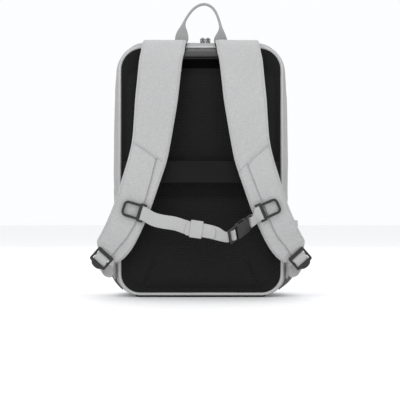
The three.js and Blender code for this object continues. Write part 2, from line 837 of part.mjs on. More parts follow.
function buckleSocket() {
  const inside = buckleHalf - buckleWall;
  const cavity = buckleThickness - 2 * buckleWall;
  const guides = block(socketBack + buckleWall, mouth + 4, -inside, inside, cavity);
  const side = buckleHalf + 4;
  const sideWindows = block(socketBack + 7, mouth - 7, -side, side, cavity);
  const bars = block(barOuter, socketBack + 2, -buckleHalf, buckleHalf, hardwareThickness, 2);
  const slotHalf = webbingWidth / 2 + 0.6;
  const near = block(loopBar, socketBack, -slotHalf, slotHalf, buckleThickness);
  const far = block(barOuter + buckleBar, loopBar - hardwareThickness, -slotHalf, slotHalf,
    buckleThickness);
  const body = block(socketBack, mouth, -buckleHalf, buckleHalf, buckleThickness, 3)
    .subtract(guides).subtract(sideWindows).add(bars).subtract(near).subtract(far);
  return stand(fromManifold(body), buckleFrame());
}

function bucklePlug() {
  const thick = buckleThickness - 2 * buckleWall - 2 * buckleFit;
  const armOuter = buckleHalf - buckleWall - buckleFit;
  const tip = mouth - prongLength;
  const arms = [-1, 1].map((side) => {
    const [low, high] = [side * armOuter, side * (armOuter - 4.5)].sort((a, b) => a - b);
    return block(tip, mouth + 2, low, high, thick, 1.2);
  });
  const slotHalf = webbingWidth / 2 + 0.6;
  const start = mouth + seamGap;
  const slotStart = prongFar - hardwareThickness - barWindow;
  const body = block(start, prongFar, -buckleHalf, buckleHalf, hardwareThickness, 2)
    .subtract(block(slotStart, prongFar - hardwareThickness, -slotHalf, slotHalf, buckleThickness))
    .add(arms[0]).add(arms[1]).add(block(tip + 3, mouth + 2, -2.2, 2.2, thick, 1));
  return stand(fromManifold(body), buckleFrame());
}

// The sternum webbing's path from the left slider to the buckle: shares of the half body width and
// of the body height, millimetres behind the strap standoff, and the tilt of its width in degrees.
const sternumPath = [
  { reach: -0.5418, height: 0.3062, depth: 9, tilt: -16 },
  { reach: -0.4031, height: 0.2956, depth: 10.5, tilt: -5 },
  { reach: -0.2755, height: 0.2917, depth: 11.5, tilt: -4 },
  { reach: -0.1864, height: 0.2775, depth: 9.5, tilt: -15 },
  { reach: -0.0922, height: 0.2705, depth: 8.5, tilt: -7 },
  { reach: 0.0456, height: 0.264, depth: 8.5, tilt: -5 },
  { reach: 0.1823, height: 0.2535, depth: 14, tilt: -4 },
];

function sternumRows(path, rearward) {
  return path.map(({ reach, height, depth, tilt }) => {
    const angle = THREE.MathUtils.degToRad(tilt + 90);
    const y = backPlane - strapStandoff - depth - rearward;
    return {
      centre: at(reach * halfWidth, y, height * bodyHeight),
      across: at(Math.cos(angle), 0, Math.sin(angle)).multiplyScalar(webbingWidth / 2),
    };
  });
}

// Webbing that turns round the socket's loop bar and leaves behind its outer bar.
function socketRows() {
  const frame = buckleFrame();
  const level = (hardwareThickness + webbingThickness) / 2 + seamGap;
  const clear = 0.4;
  const leaving = [
    [loopBar - hardwareThickness - clear, level],
    [barOuter + buckleBar + clear, -level],
    [barOuter - 2.5, -level],
  ].map(([place, rise]) => {
    const row = frameRow(frame, place);
    row.centre.addScaledVector(frame.normal, rise);
    return row;
  });
  return [...wrapRows(frame, loopBar, -1, -1.2).slice(0, -1), ...leaving];
}

function sternumWebbing(name) {
  const start = wrapRows(sternumFrame(sternumPlaces[name]), sliderLength / 2 + sliderSlot, 1);
  const path = name === "left" ? sternumRows(sternumPath, 0) : [];
  const end = name === "left"
    ? socketRows()
    : wrapRows(buckleFrame(), prongFar - hardwareThickness, 1);
  return ribbon(ribbonRows([...start, ...path, ...end.reverse()], webbingThickness));
}

// The free end of the webbing lies behind the strap and is held by an elastic keeper.
function sternumTail() {
  const rows = sternumRows(sternumPath.slice(3), webbingThickness + 2 * seamGap);
  rows[0].centre.add(at(2, 0, -3.5));
  rows[rows.length - 1].centre.add(at(-3, -0.6, 0.6));
  return ribbon(ribbonRows(rows, webbingThickness));
}

const keeperWidth = 22;

function webbingKeeper() {
  const [a, b] = [sternumPath[4], sternumPath[5]];
  const slope = Math.atan2((b.height - a.height) * bodyHeight, (b.reach - a.reach) * halfWidth);
  const stack = 2 * webbingThickness + 4 * seamGap;
  const outer = roundedRect(webbingWidth + 5.5, stack + 3.5, 1.5);
  const inner = roundedRect(webbingWidth + 2.5, stack + 1, 0.6);
  const middle = at(mix(a.reach, b.reach, 0.3) * halfWidth, 0, mix(a.height, b.height, 0.3) * bodyHeight);
  middle.y = backPlane - strapStandoff - a.depth - webbingThickness / 2 - seamGap;
  const along = at(-Math.sin(slope), 0, Math.cos(slope));
  const normal = at(Math.cos(slope), 0, Math.sin(slope));
  const ring = plate(outer, keeperWidth, [inner]);
  return stand(ring, { origin: middle, along, across: at(0, -1, 0), normal });
}

// The ladder lock at the strap's tip, with the webbing woven over its middle bar.
function lockFrame(side) {
  const { centre, inward, normal } = strapPlace(side, strapEnd, -0.12);
  const across = inward.clone().negate();
  const along = at(0, 0, 0).crossVectors(across, normal).normalize();
  if (along.z > 0) along.negate();
  const fill = strapSections[strapEnd].fill;
  const stack = fill * strapThickness / 2 + overlayThickness + webbingThickness + 2 * layerGap;
  const origin = centre.clone().addScaledVector(along, lockLength * 0.28)
    .addScaledVector(normal, stack + hardwareThickness / 2 + 2 * seamGap);
  return { origin, along, across, normal };
}

function ladderLock(side) {
  const [half, wide] = [lockLength / 2, lockWidth / 2];
  const corner = 3;
  const tab = arc(0, 0, 1, -80, 80, 8).map(({ x, y }) => {
    return new THREE.Vector2(half + lockTab * x, wide * 0.62 * y);
  });
  const outer = [
    ...arc(half - corner, -wide + corner, corner, -90, 0, 3),
    ...tab,
    ...arc(half - corner, wide - corner, corner, 0, 90, 3),
    ...arc(-half + corner, wide - corner, corner, 90, 180, 3),
    ...arc(-half + corner, -wide + corner, corner, 180, 270, 3),
  ];
  const holes = [[-half + lockHead, -lockBar / 2], [lockBar / 2, half - lockBar]].map(([low, high]) => {
    return roundedRect(high - low, lockWidth - 2 * lockRail, 0.8, 1).map((point) => {
      return new THREE.Vector2(point.x + (low + high) / 2, point.y);
    });
  });
  return stand(plate(outer, hardwareThickness, holes), lockFrame(side));
}

// The lower webbing: woven through the lock, then inward to the tab at the body's lower corner.
function lowerWebbing(side) {
  const frame = lockFrame(side);
  const level = (hardwareThickness + webbingThickness) / 2 + seamGap;
  const edge = lockLength / 2 - lockBar - 0.4;
  const weave = [
    [-lockLength * 0.48, -level],
    [lockHead + 0.4 - lockLength / 2, -level],
    [-lockBar / 2 - 0.4, level],
    [lockBar / 2 + 0.4, level],
    [edge, -level],
    [lockLength / 2 + 1, -level - 0.6],
  ];
  const woven = weave.map(([along, rise]) => {
    const row = frameRow(frame, along);
    row.centre.addScaledVector(frame.normal, rise);
    return row;
  });
  const tab = tabRows(side)[0];
  const lockSide = woven[woven.length - 1];
  const turns = [0.3, 0.62].map((share) => ({
    centre: lockSide.centre.clone().lerp(tab.centre, share).add(at(side * 9 * (1 - share), 9, -5)),
    across: lockSide.across.clone().lerp(tab.across, share).setLength(webbingWidth / 2),
  }));
  const last = { centre: tab.centre.clone().add(at(0, -1, 0)), across: tab.across.clone() };
  last.across.setLength(webbingWidth / 2);
  return ribbon(ribbonRows([...woven, ...turns, last], webbingThickness));
}

function tabRows(side) {
  const height = tabHeight * bodyHeight;
  const near = sidePlace(side, 0.035, height);
  const far = sidePlace(side, 0.07, height);
  const lift = seamGap + webbingThickness / 2 + 0.3;
  const start = near.point.clone().add(at(side * tabReach, -tabReach, 0));
  return [
    { centre: start, across: at(0, 0, webbingWidth / 2) },
    { centre: near.point.addScaledVector(near.normal, lift + 1), across: at(0, 0, webbingWidth * 0.62) },
    { centre: far.point.addScaledVector(far.normal, lift), across: at(0, 0, webbingWidth * 0.72) },
  ];
}

function anchorTab(side) {
  return ribbon(ribbonRows(tabRows(side), webbingThickness));
}

// A side pocket stands off the body's side: shares of its depth or height and of its bulge.
const pocketRise = [
  { place: 0, stand: 0 },
  { place: 0.12, stand: 0.35 },
  { place: 0.3, stand: 0.8 },
  { place: 0.55, stand: 1 },
  { place: 0.8, stand: 0.9 },
  { place: 1, stand: 0.72 },
];
const pocketRun = [
  { place: 0, stand: 0 },
  { place: 0.1, stand: 0.55 },
  { place: 0.28, stand: 0.92 },
  { place: 0.5, stand: 1 },
  { place: 0.75, stand: 0.88 },
  { place: 0.9, stand: 0.5 },
  { place: 1, stand: 0 },
];

function sidePocket(name, side, mesh) {
  const split = (length, meshLength, steps) => [
    ...Array.from({ length: 4 }, (_, i) => i / 3 * (meshLength - seamGap) / length),
    ...Array.from({ length: steps }, (_, i) => mix(meshLength / length, 1, i / (steps - 1))),
  ];
  const run = split(pocketDepth, pocketMeshDepth, 6);
  const rise = split(pocketHeight, pocketMeshHeight, 5);
  const grid = run.map((u) => rise.map((v) => {
    const share = (pocketBack + u * pocketDepth) / shellDepth;
    const { point, normal } = sidePlace(side, share, pocketFoot + v * pocketHeight);
    const stand = readTable(pocketRun, "place", u).stand * readTable(pocketRise, "place", v).stand;
    return { point: point.addScaledVector(normal, 2 * seamGap + pocketBulge[name] * stand), normal };
  }));
  return sheet(grid, pocketWall, (i, j) => (mesh ? i < 3 && j < 3 : i > 3 || j > 3));
}

// The carry handle: flat tabs that fold into a narrow grip. Reach is a share of half the spacing,
// rise of the handle height, fold runs from 0 on the flat tab to 1 on the grip.
const handleRows = [
  { reach: -0.99, rise: 0, fold: 0 },
  { reach: -0.97, rise: 0.18, fold: 0.03 },
  { reach: -0.94, rise: 0.305, fold: 0.35 },
  { reach: -0.9, rise: 0.43, fold: 0.85 },
  { reach: -0.83, rise: 0.54, fold: 1 },
  { reach: -0.68, rise: 0.667, fold: 1 },
  { reach: -0.4, rise: 0.85, fold: 1 },
  { reach: -0.08, rise: 0.944, fold: 1 },
  { reach: 0.15, rise: 0.968, fold: 1 },
  { reach: 0.37, rise: 0.95, fold: 1 },
  { reach: 0.62, rise: 0.875, fold: 1 },
  { reach: 0.78, rise: 0.758, fold: 1 },
  { reach: 0.91, rise: 0.6, fold: 1 },
  { reach: 1, rise: 0.445, fold: 1 },
  { reach: 1.04, rise: 0.333, fold: 0.85 },
  { reach: 1.03, rise: 0.208, fold: 0.35 },
  { reach: 1.01, rise: 0.1, fold: 0.03 },
  { reach: 1, rise: 0, fold: 0 },
];

function grabHandle() {
  const share = handlePlace / shellDepth;
  const y = shellY(share, bodyHeight);
  const foot = sectionAt(share, 0).crown + layerGap;
  const centres = handleRows.map(({ reach, rise }) => {
    return at(reach * handleSpacing / 2, y, mix(foot, bodyHeight + handleHeight, rise));
  });
  const rings = handleRows.map(({ fold }, i) => {
    const before = centres[Math.max(i - 1, 0)];
    const after = centres[Math.min(i + 1, centres.length - 1)];
    const flat = i === 0 || i === centres.length - 1;
    const run = flat ? at(0, 0, i === 0 ? 1 : -1) : after.clone().sub(before).normalize();
    const outward = at(0, 0, 0).crossVectors(run, at(0, 1, 0));
    const wide = mix(webbingWidth, gripThickness, fold);
    const deep = mix(2 * webbingThickness, gripWidth, fold);
    return roundedRect(wide, deep, Math.min(wide, deep) * 0.4, 2).map(({ x, y: aside }) => {
      return centres[i].clone().addScaledVector(outward, x).add(at(0, aside, 0));
    });
  });
  return skin(rings);
}

// Pieces
add("base_panel", basePanel(), finish.base);
add("back_panel", backPanel(), finish.mesh);
add("edge_piping", piping(), finish.shell);
add("rear_gusset", shellBand(0, zipShare - seamGap / shellDepth), finish.shell);
add("front_gusset", shellBand(zipShare, frontPanelStart), finish.shell);
add("front_panel", frontPanel(), finish.shell);
add("main_zip", mainZip(), finish.zip);
add("luggage_band", luggageBand(), finish.darkCloth);

[["left", zipMeeting - zipSliderLength / 2 - 0.3], ["right", zipMeeting + zipSliderLength / 2 + 0.3]]
  .forEach(([name, x]) => {
    add(`zip_slider_${name}`, zipSlider(x), finish.metal);
    add(`zip_pull_${name}`, zipPull(x), finish.metal);
  });

[["left", -1], ["right", 1]].forEach(([name, side]) => {
  add(`shoulder_strap_${name}`, shoulderStrap(side), finish.shell);
  add(`strap_lining_${name}`, strapLining(side), finish.mesh);
  add(`strap_overlay_${name}`, strapOverlay(side), finish.shell);
  add(`sternum_slider_${name}`, sternumSlider(sternumPlaces[name]), finish.plastic);
});

["left", "right"].forEach((name) => {
  add(`sternum_webbing_${name}`, sternumWebbing(name), finish.webbing);
});
add("sternum_tail", sternumTail(), finish.webbing);
add("webbing_keeper", webbingKeeper(), finish.webbing);
add("buckle_socket", buckleSocket(), finish.plastic);
add("buckle_plug", bucklePlug(), finish.plastic);

[["left", -1], ["right", 1]].forEach(([name, side]) => {
  add(`ladder_lock_${name}`, ladderLock(side), finish.plastic);
  add(`lower_webbing_${name}`, lowerWebbing(side), finish.webbing);
  add(`anchor_tab_${name}`, anchorTab(side), finish.webbing);
  add(`side_pocket_${name}`, sidePocket(name, side, false), finish.shell);
  add(`pocket_mesh_${name}`, sidePocket(name, side, true), finish.pocketMesh);
});
add("grab_handle", grabHandle(), finish.webbing);

export default group;
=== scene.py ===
# %% [markdown]
# A laptop backpack seen from behind: a grey cloth body, a black padded back panel, two long
# shoulder straps, a chest strap with a side release buckle, a luggage band and a carry handle.
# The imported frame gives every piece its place. Hard pieces keep the frame's shape and get soft
# edges, while cloth pieces are drawn again with finer rows, because cloth needs many more points
# than a solid for collision does.

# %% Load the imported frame
import math
from bisect import bisect

import bmesh
import bpy
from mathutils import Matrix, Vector, noise


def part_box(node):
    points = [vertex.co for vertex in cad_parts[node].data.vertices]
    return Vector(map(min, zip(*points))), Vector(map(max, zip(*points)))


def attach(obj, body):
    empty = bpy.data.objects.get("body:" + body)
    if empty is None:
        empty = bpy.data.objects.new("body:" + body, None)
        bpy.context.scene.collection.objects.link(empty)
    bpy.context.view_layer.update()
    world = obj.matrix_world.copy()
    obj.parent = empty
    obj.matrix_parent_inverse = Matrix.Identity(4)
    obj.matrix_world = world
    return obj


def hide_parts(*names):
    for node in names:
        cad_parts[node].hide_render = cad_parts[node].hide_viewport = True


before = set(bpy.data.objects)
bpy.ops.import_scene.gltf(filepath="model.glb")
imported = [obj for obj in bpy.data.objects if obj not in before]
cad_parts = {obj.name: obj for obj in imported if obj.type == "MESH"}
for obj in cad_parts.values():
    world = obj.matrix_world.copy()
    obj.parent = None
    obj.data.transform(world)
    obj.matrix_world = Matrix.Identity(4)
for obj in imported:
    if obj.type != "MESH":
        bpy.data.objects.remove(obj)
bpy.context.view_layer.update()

# %% [markdown]
# The photograph is taken level with the middle of the back, from far enough away that the sides
# of the body don't show. A long lens at two and a half metres gives the same flat view.

# %% Camera
SCALE_AT_PANEL = 0.712
CAMERA_AWAY = 2.5
PANEL_PLANE = -0.069


def placed(name, data):
    """A new object in the scene with this data."""
    thing = bpy.data.objects.new(name, data)
    bpy.context.scene.collection.objects.link(thing)
    return thing


lens = bpy.data.cameras.new("camera")
lens.sensor_width = 36
lens.lens = lens.sensor_width * CAMERA_AWAY / SCALE_AT_PANEL
camera = placed("camera", lens)
camera.location = (-0.0015, PANEL_PLANE - CAMERA_AWAY, 0.173)
camera.rotation_euler = (math.pi / 2, 0, 0)
bpy.context.scene.camera = camera
print("lens", round(lens.lens, 1), "mm")

# %% [markdown]
# Product light is soft: a broad key from the upper left, a weaker fill from the right and a
# bright room around them. Each lamp is an area light, because a point light would draw hard
# shadows of every strap on the body.

# %% Lamps and room
def lamp(name, place, aim, size, power):
    data = bpy.data.lights.new(name, "AREA")
    data.shape, data.size, data.energy = "SQUARE", size, power
    thing = placed(name, data)
    thing.location = place
    thing.rotation_euler = (Vector(aim) - Vector(place)).to_track_quat("-Z", "Y").to_euler()


lamp("key", (-1.3, -2.0, 1.9), (0, 0, 0.25), 1.6, 17)
lamp("fill", (1.8, -1.8, 0.9), (0, 0, 0.25), 1.8, 5)
lamp("top", (0.2, 0.3, 2.2), (0, 0, 0.3), 1.6, 9)
lamp("behind", (0.0, 2.2, 1.2), (0, 0, 0.3), 1.8, 4)

room = bpy.data.worlds.new("room")
room.use_nodes = True
room.node_tree.nodes["Background"].inputs["Color"].default_value = (0.98, 0.985, 1.0, 1)
room.node_tree.nodes["Background"].inputs["Strength"].default_value = 1.0
bpy.context.scene.world = room
bpy.context.scene.view_settings.view_transform = "Standard"
print("lamps", len(bpy.data.lights))

# %% [markdown]
# Shader maths reads best as plain sums. A Wire stands for one socket, and each operator on it
# adds the Math node that does the sum. A Graph is a node tree, for a finish or for geometry
# nodes, and its node method makes any node from its type, its settings and its sockets.

# %% Wires and graphs
class Wire:
    def __init__(self, graph, socket):
        self.graph, self.socket = graph, socket

    def _sum(self, operation, first, second):
        return self.graph.node("ShaderNodeMath", {"operation": operation}, {0: first, 1: second})

    def __add__(self, other):
        return self._sum("ADD", self, other)

    def __sub__(self, other):
        return self._sum("SUBTRACT", self, other)

    def __rsub__(self, other):
        return self._sum("SUBTRACT", other, self)

    def __mul__(self, other):
        return self._sum("MULTIPLY", self, other)

    def __truediv__(self, other):
        return self._sum("DIVIDE", self, other)

    def __pow__(self, other):
        return self._sum("POWER", self, other)

    __radd__, __rmul__ = __add__, __mul__

    def wave(self):
        return self._sum("SINE", self, 0)

    def size(self):
        return self._sum("ABSOLUTE", self, 0)

    def over(self, edge, soft):
        """0 below the edge, 1 above it, with a soft step between."""
        return self.graph.node(
            "ShaderNodeMapRange",
            {"interpolation_type": "SMOOTHSTEP"},
            {"Value": self, "From Min": edge - soft, "From Max": edge + soft},
        )


class Graph:
    def __init__(self, tree):
        self.tree = tree

    def node(self, kind, settings=None, sockets=None, out=0):
        made = self.tree.nodes.new(kind)
        for key, value in (settings or {}).items():
            setattr(made, key, value)
        for key, value in (sockets or {}).items():
            if isinstance(value, Wire):
                self.tree.links.new(value.socket, made.inputs[key])
            else:
                made.inputs[key].default_value = value
        return Wire(self, made.outputs[out]) if made.outputs else made

    def axes(self, vector):
        split = self.node("ShaderNodeSeparateXYZ", None, {0: vector}).socket.node
        return [Wire(self, output) for output in split.outputs]

    def mix(self, share, first, second):
        return self.node(
            "ShaderNodeMix", {"data_type": "RGBA"}, {0: share, 6: first, 7: second}, out=2
        )

    def grain(self, vector, scale, detail=2.0):
        sockets = {"Vector": vector, "Scale": scale, "Detail": detail}
        return self.node("ShaderNodeTexNoise", None, sockets)

    def stretched(self, vector, scale):
        return self.node("ShaderNodeMapping", None, {"Vector": vector, "Scale": scale})


def grey(value):
    return (value, value, value, 1)


# %% [markdown]
# Every finish ends in one Principled shader. What is the same all over, such as sheen, is set on
# the shader itself, and only colour, roughness and the bump come from nodes.

# %% A finish from its colour, roughness and bump
class Finish(Graph):
    def __init__(self, name):
        self.material = bpy.data.materials.new(name)
        self.material.use_nodes = True
        super().__init__(self.material.node_tree)
        self.tree.nodes.clear()
        self.point = self.node("ShaderNodeTexCoord", out="Object")
        self.cut = self.node("ShaderNodeUVMap", {"uv_map": "cut"})

    def close(self, colour, roughness, height=None, depth=0.0002, **fixed):
        sockets = {"Base Color": colour, "Roughness": roughness}
        if height is not None:
            sockets["Normal"] = self.node(
                "ShaderNodeBump", None, {"Strength": 1.0, "Distance": depth, "Height": height}
            )
        sockets.update({key.replace("_", " "): value for key, value in fixed.items()})
        shader = self.node("ShaderNodeBsdfPrincipled", None, sockets)
        self.node("ShaderNodeOutputMaterial", None, {"Surface": shader})
        return self.material


# %% [markdown]
# The grey cloth is a heather: light and mid grey yarns are spun together, so short streaks of
# both show at arm's length. Noise stretched along the cut gives the streaks, and two crossed
# waves a little under a millimetre apart give the plain weave.

# %% Grey heather cloth
TURN = 2 * math.pi


def heather(name, low, high, pitch=0.0009):
    finish = Finish(name)
    across, along, _ = finish.axes(finish.cut)
    yarn = finish.grain(finish.stretched(finish.point, (1.0, 1.0, 0.45)), 1100, 2.0)
    cloud = finish.grain(finish.point, 14, 3.0)
    share = yarn.over(0.5, 0.16) * 0.7 + cloud * 0.3
    weave = (across * (TURN / pitch)).wave() * (along * (TURN / pitch)).wave()
    colour = finish.mix(share, grey(low), grey(high))
    height = weave * 0.5 + yarn * 0.5
    return finish.close(
        colour,
        yarn * 0.1 + 0.78,
        height,
        0.00012,
        Sheen_Weight=0.06,
        Sheen_Roughness=0.5,
        Specular_IOR_Level=0.3,
    )


grey_cloth = heather("grey_cloth", 0.37, 0.51)
gusset_cloth = heather("gusset_cloth", 0.3, 0.42)
edge_cloth = heather("edge_cloth", 0.42, 0.55)
print("heather cloths made")

# %% [markdown]
# Webbing is woven with ribs across it and a plain edge at both sides. Its cut coordinates run in
# metres, so one wave draws the ribs at their real pitch and the same map serves every strap.

# %% Ribbed webbing
def ribbed(name, low, high, pitch=0.0016):
    finish = Finish(name)
    across, along, _ = finish.axes(finish.cut)
    ribs = (along * (TURN / pitch)).wave()
    cords = (across * (TURN / 0.0021)).wave()
    yarn = finish.grain(finish.point, 1300, 2.0)
    share = yarn.over(0.5, 0.2) * 0.6 + ribs * 0.12 + 0.2
    colour = finish.mix(share, grey(low), grey(high))
    return finish.close(
        colour, yarn * 0.1 + 0.66, ribs * 0.5 + cords * 0.3, 0.00016, Sheen_Weight=0.15
    )


grey_webbing = ribbed("grey_webbing", 0.35, 0.49)
handle_webbing = ribbed("handle_webbing", 0.28, 0.38)
print(grey_webbing.name, handle_webbing.name)

# %% [markdown]
# The back panel is spacer mesh, a knitted cloth with rows of small round holes over foam. The
# holes are set in staggered rows: two grids of dots, one moved by half a step, make that pattern.

# %% Spacer mesh with staggered holes
def dots(finish, first, second, pitch, radius):
    """1 inside each dot of a square grid, 0 between the dots."""
    parts = []
    for value in (first, second):
        share = value / pitch
        cell = share - finish.node("ShaderNodeMath", {"operation": "ROUND"}, {0: share})
        parts.append(cell * cell)
    away = (parts[0] + parts[1]) ** 0.5
    return 1 - away.over(radius, 0.09)


def holed(name, low, high, dot, pitch=0.0052, radius=0.2, bump=0.0006):
    finish = Finish(name)
    across, _, up = finish.axes(finish.point)
    holes = dots(finish, across, up, pitch, radius) + dots(
        finish, across + pitch / 2, up + pitch / 2, pitch, radius
    )
    yarn = finish.grain(finish.point, 1500, 2.0)
    cloud = finish.grain(finish.point, 9, 2.0)
    colour = finish.mix(
        holes * 0.85, finish.mix(yarn * 0.6 + cloud * 0.4, grey(low), grey(high)), grey(dot)
    )
    return finish.close(
        colour, yarn * 0.1 + 0.72, (1 - holes) + yarn * 0.25, bump, Specular_IOR_Level=0.18
    )


black_mesh = holed("black_mesh", 0.002, 0.006, 0.024)
black_lining = holed("black_lining", 0.008, 0.016, 0.003, 0.0036, 0.22, 0.0004)
print(black_mesh.name, black_lining.name)

# %% [markdown]
# Smooth black cloth covers the rolled top edge and the luggage band. It is a tight satin weave,
# so it takes a soft highlight along each rounded edge.

# %% Smooth black cloth, painted recess shade, base cloth and pocket mesh
def satin(name, low, high, roughness, gloss=0.12):
    finish = Finish(name)
    yarn = finish.grain(finish.stretched(finish.point, (0.35, 1, 1)), 1200, 2.0)
    cloud = finish.grain(finish.point, 22, 3.0)
    colour = finish.mix(yarn * 0.6 + cloud * 0.4, grey(low), grey(high))
    return finish.close(
        colour, yarn * 0.14 + roughness, yarn + cloud * 0.8, 0.00016, Specular_IOR_Level=gloss
    )


black_cloth = satin("black_cloth", 0.004, 0.009, 0.45)
roll_cloth = satin("roll_cloth", 0.014, 0.022, 0.3, 0.9)
# The strip under the rolled top edge takes a near black, dull cloth. This is painted shade, standing
# for the shadow in the recess below the roll.
recess_shade_cloth = satin("recess_shade_cloth", 0.001, 0.003, 0.8, 0.02)
base_cloth = satin("base_cloth", 0.035, 0.06, 0.7)
pocket_mesh_cloth = holed("pocket_mesh_cloth", 0.1, 0.15, 0.03, 0.0024, 0.24, 0.0004)
print(black_cloth.name, roll_cloth.name, recess_shade_cloth.name, base_cloth.name)

# %% [markdown]
# Buckles and sliders are drawn as moulded plastic: near black, with a fine grain and uneven wear.
# The zip's teeth are plastic too, and its sliders are dark metal. The floor is a pale plane.

# %% Plastic, zip, metal and floor
def moulded(name, value, roughness, metallic=0.0):
    finish = Finish(name)
    grain = finish.grain(finish.point, 2600, 2.0)
    rub = finish.grain(finish.point, 120, 3.0)
    colour = finish.mix(rub * 0.5 + grain * 0.3, grey(value * 0.8), grey(value * 1.35))
    return finish.close(
        colour,
        roughness + (1 - rub.over(0.62, 0.1)) * 0.12,
        grain,
        0.00004,
        Metallic=metallic,
        Specular_IOR_Level=0.4,
    )


black_plastic = moulded("black_plastic", 0.016, 0.34)
zip_teeth = moulded("zip_teeth", 0.09, 0.38)
zip_metal = moulded("zip_metal", 0.2, 0.28, 1.0)
zip_tape = ribbed("zip_tape", 0.2, 0.28, 0.0011)
grey_thread = moulded("grey_thread", 0.36, 0.62)
# This near black thread sews the strap's crossing seams. Its darkness also paints the thin shadow
# that the facing's edge casts along them.
seam_shade_thread = moulded("seam_shade_thread", 0.06, 0.62)

pale_floor = Finish("pale_floor")
pale_floor.close(
    pale_floor.mix(pale_floor.grain(pale_floor.point, 6), grey(0.9), grey(0.93)), 0.7
)
bpy.ops.mesh.primitive_plane_add(size=14)
floor = bpy.context.object
floor.name = "floor"
floor.data.materials.append(pale_floor.material)
print("finishes", len(bpy.data.materials))

# %% [markdown]
# Cloth pieces are drawn as rings or grids of points. These helpers turn such rows into a closed
# mesh whose faces point outwards, with a map in metres named cut for the weave to follow.

# %% Meshes from rows of points
def clamp(value, low=0.0, high=1.0):
    return min(max(value, low), high)


def blend_in(value):
    value = clamp(value)
    return value * value * (3 - 2 * value)


def ramp(count):
    return [i / (count - 1) for i in range(count)]


def make(name, points, faces, material, cuts=None):
    mesh = bpy.data.meshes.new(name)
    mesh.from_pydata([tuple(point) for point in points], [], faces)
    work = bmesh.new()
    work.from_mesh(mesh)
    bmesh.ops.recalc_face_normals(work, faces=work.faces[:])
    work.to_mesh(mesh)
    work.free()
    layer = mesh.uv_layers.new(name="cut")
    for loop in mesh.loops:
        place = cuts[loop.vertex_index] if cuts else (0.0, 0.0)
        layer.data[loop.index].uv = place
    mesh.shade_smooth()
    mesh.materials.append(material)
    return placed(name, mesh)


def lengths(points):
    total, run = [0.0], 0.0
    for a, b in zip(points, points[1:]):
        run += (Vector(b) - Vector(a)).length
        total.append(run)
    return total


def loft(name, rings, material, closed=False):
    """A skin over equal rings: closed runs back to the first, otherwise both ends are filled."""
    size = len(rings[0])
    points = [point for ring in rings for point in ring]
    around = lengths(rings[len(rings) // 2])
    along = lengths([ring[0] for ring in rings])
    cuts = [(around[i], along[j]) for j in range(len(rings)) for i in range(size)]
    faces = []
    for row in range(len(rings) if closed else len(rings) - 1):
        here, there = row * size, (row + 1) % len(rings) * size
        for i in range(size):
            j = (i + 1) % size
            faces.append((here + i, here + j, there + j, there + i))
    if not closed:
        for start in (0, (len(rings) - 1) * size):
            for i in range(size // 2 - 1):
                j = size - 1 - i
                faces.append((start + i, start + i + 1, start + j - 1, start + j))
    return make(name, points, faces, material, cuts)


def crease_by(point, scale, depth, seed=0.0):
    """A slow, uneven rise and fall of cloth at a place, the same in every run."""
    return depth * noise.fractal(Vector(point) * scale + Vector((seed, seed, seed)), 0.8, 2.0, 3)


# %% [markdown]
# A table holds a form's sizes at a few places, and the form between them follows a smooth curve
# through the rows. Straight lines between rows would show as flats in the finished cloth.

# %% Read a table on a smooth curve
def read(table, place):
    keys = [row[0] for row in table]
    i = int(clamp(bisect(keys, place) - 1, 0, len(keys) - 2))
    width = keys[i + 1] - keys[i]
    t = (place - keys[i]) / width

    def slope(j, column):
        a, b = max(j - 1, 0), min(j + 1, len(table) - 1)
        return (table[b][column] - table[a][column]) / (keys[b] - keys[a]) * width

    found = []
    for column in range(1, len(table[0])):
        a, b = table[i][column], table[i + 1][column]
        u, v = slope(i, column), slope(i + 1, column)
        cubic = (2 * t**3 - 3 * t**2 + 1) * a + (t**3 - 2 * t**2 + t) * u
        found.append(cubic + (3 * t**2 - 2 * t**3) * b + (t**3 - t**2) * v)
    return found


# %% [markdown]
# The body is a tall soft box. Its outline is a rounded rectangle that narrows a little towards
# the top, and the table says how that outline changes from the back seam to the front. The
# gusset is the long strip round the body between the back and the front, and the main zip cuts
# it in two, so it is made as two bands with rolled seam edges and the front as a third piece.

# %% The body's outline at any depth
BODY_WIDTH, BODY_HEIGHT = 0.313, 0.455
SHELL_DEPTH = 0.138
HALF_WIDTH = BODY_WIDTH / 2
HEAD_RADIUS, FOOT_RADIUS = 0.05, 0.045
SOLE = 0.0033
ZIP_SHARE = 0.29
PANEL_INSET = 0.0056
TAPER_START = 0.6
FRONT_LEAN = 0.25
CORNER_STEPS, SIDE_STEPS, END_STEPS = 14, 30, 16
# depth, width, crown, roundness, lift of the sole
SHELL = [
    (0.0, 0.937, 0.983, 0.86, 0.0),
    (0.08, 0.972, 0.991, 0.92, 0.0),
    (0.22, 0.994, 0.999, 1.0, 0.0),
    (0.45, 1.0, 1.0, 1.0, 0.0),
    (0.75, 0.993, 0.996, 1.0, 0.0),
    (0.9, 0.968, 0.984, 0.95, 0.004),
    (0.93, 0.956, 0.978, 0.93, 0.008),
    (1.0, 0.905, 0.955, 0.85, 0.025),
]


def narrowing(z, depth=0.0):
    """Towards the top every section narrows down to the width of the back seam."""
    share = max(z / BODY_HEIGHT - TAPER_START, 0) / (1 - TAPER_START)
    return 1 - (read(SHELL, depth)[0] - SHELL[0][1]) * share * share


def shell_y(depth, z):
    share = clamp(z / BODY_HEIGHT)
    return PANEL_PLANE + SHELL_DEPTH * depth * (1 - FRONT_LEAN * share * share)


def section(depth, inset):
    width, crown, roundness, lift = read(SHELL, depth)
    return (
        width * HALF_WIDTH - inset,
        crown * BODY_HEIGHT - inset,
        SOLE + lift * BODY_HEIGHT + inset,
        HEAD_RADIUS * roundness - inset,
        FOOT_RADIUS * roundness - inset,
    )


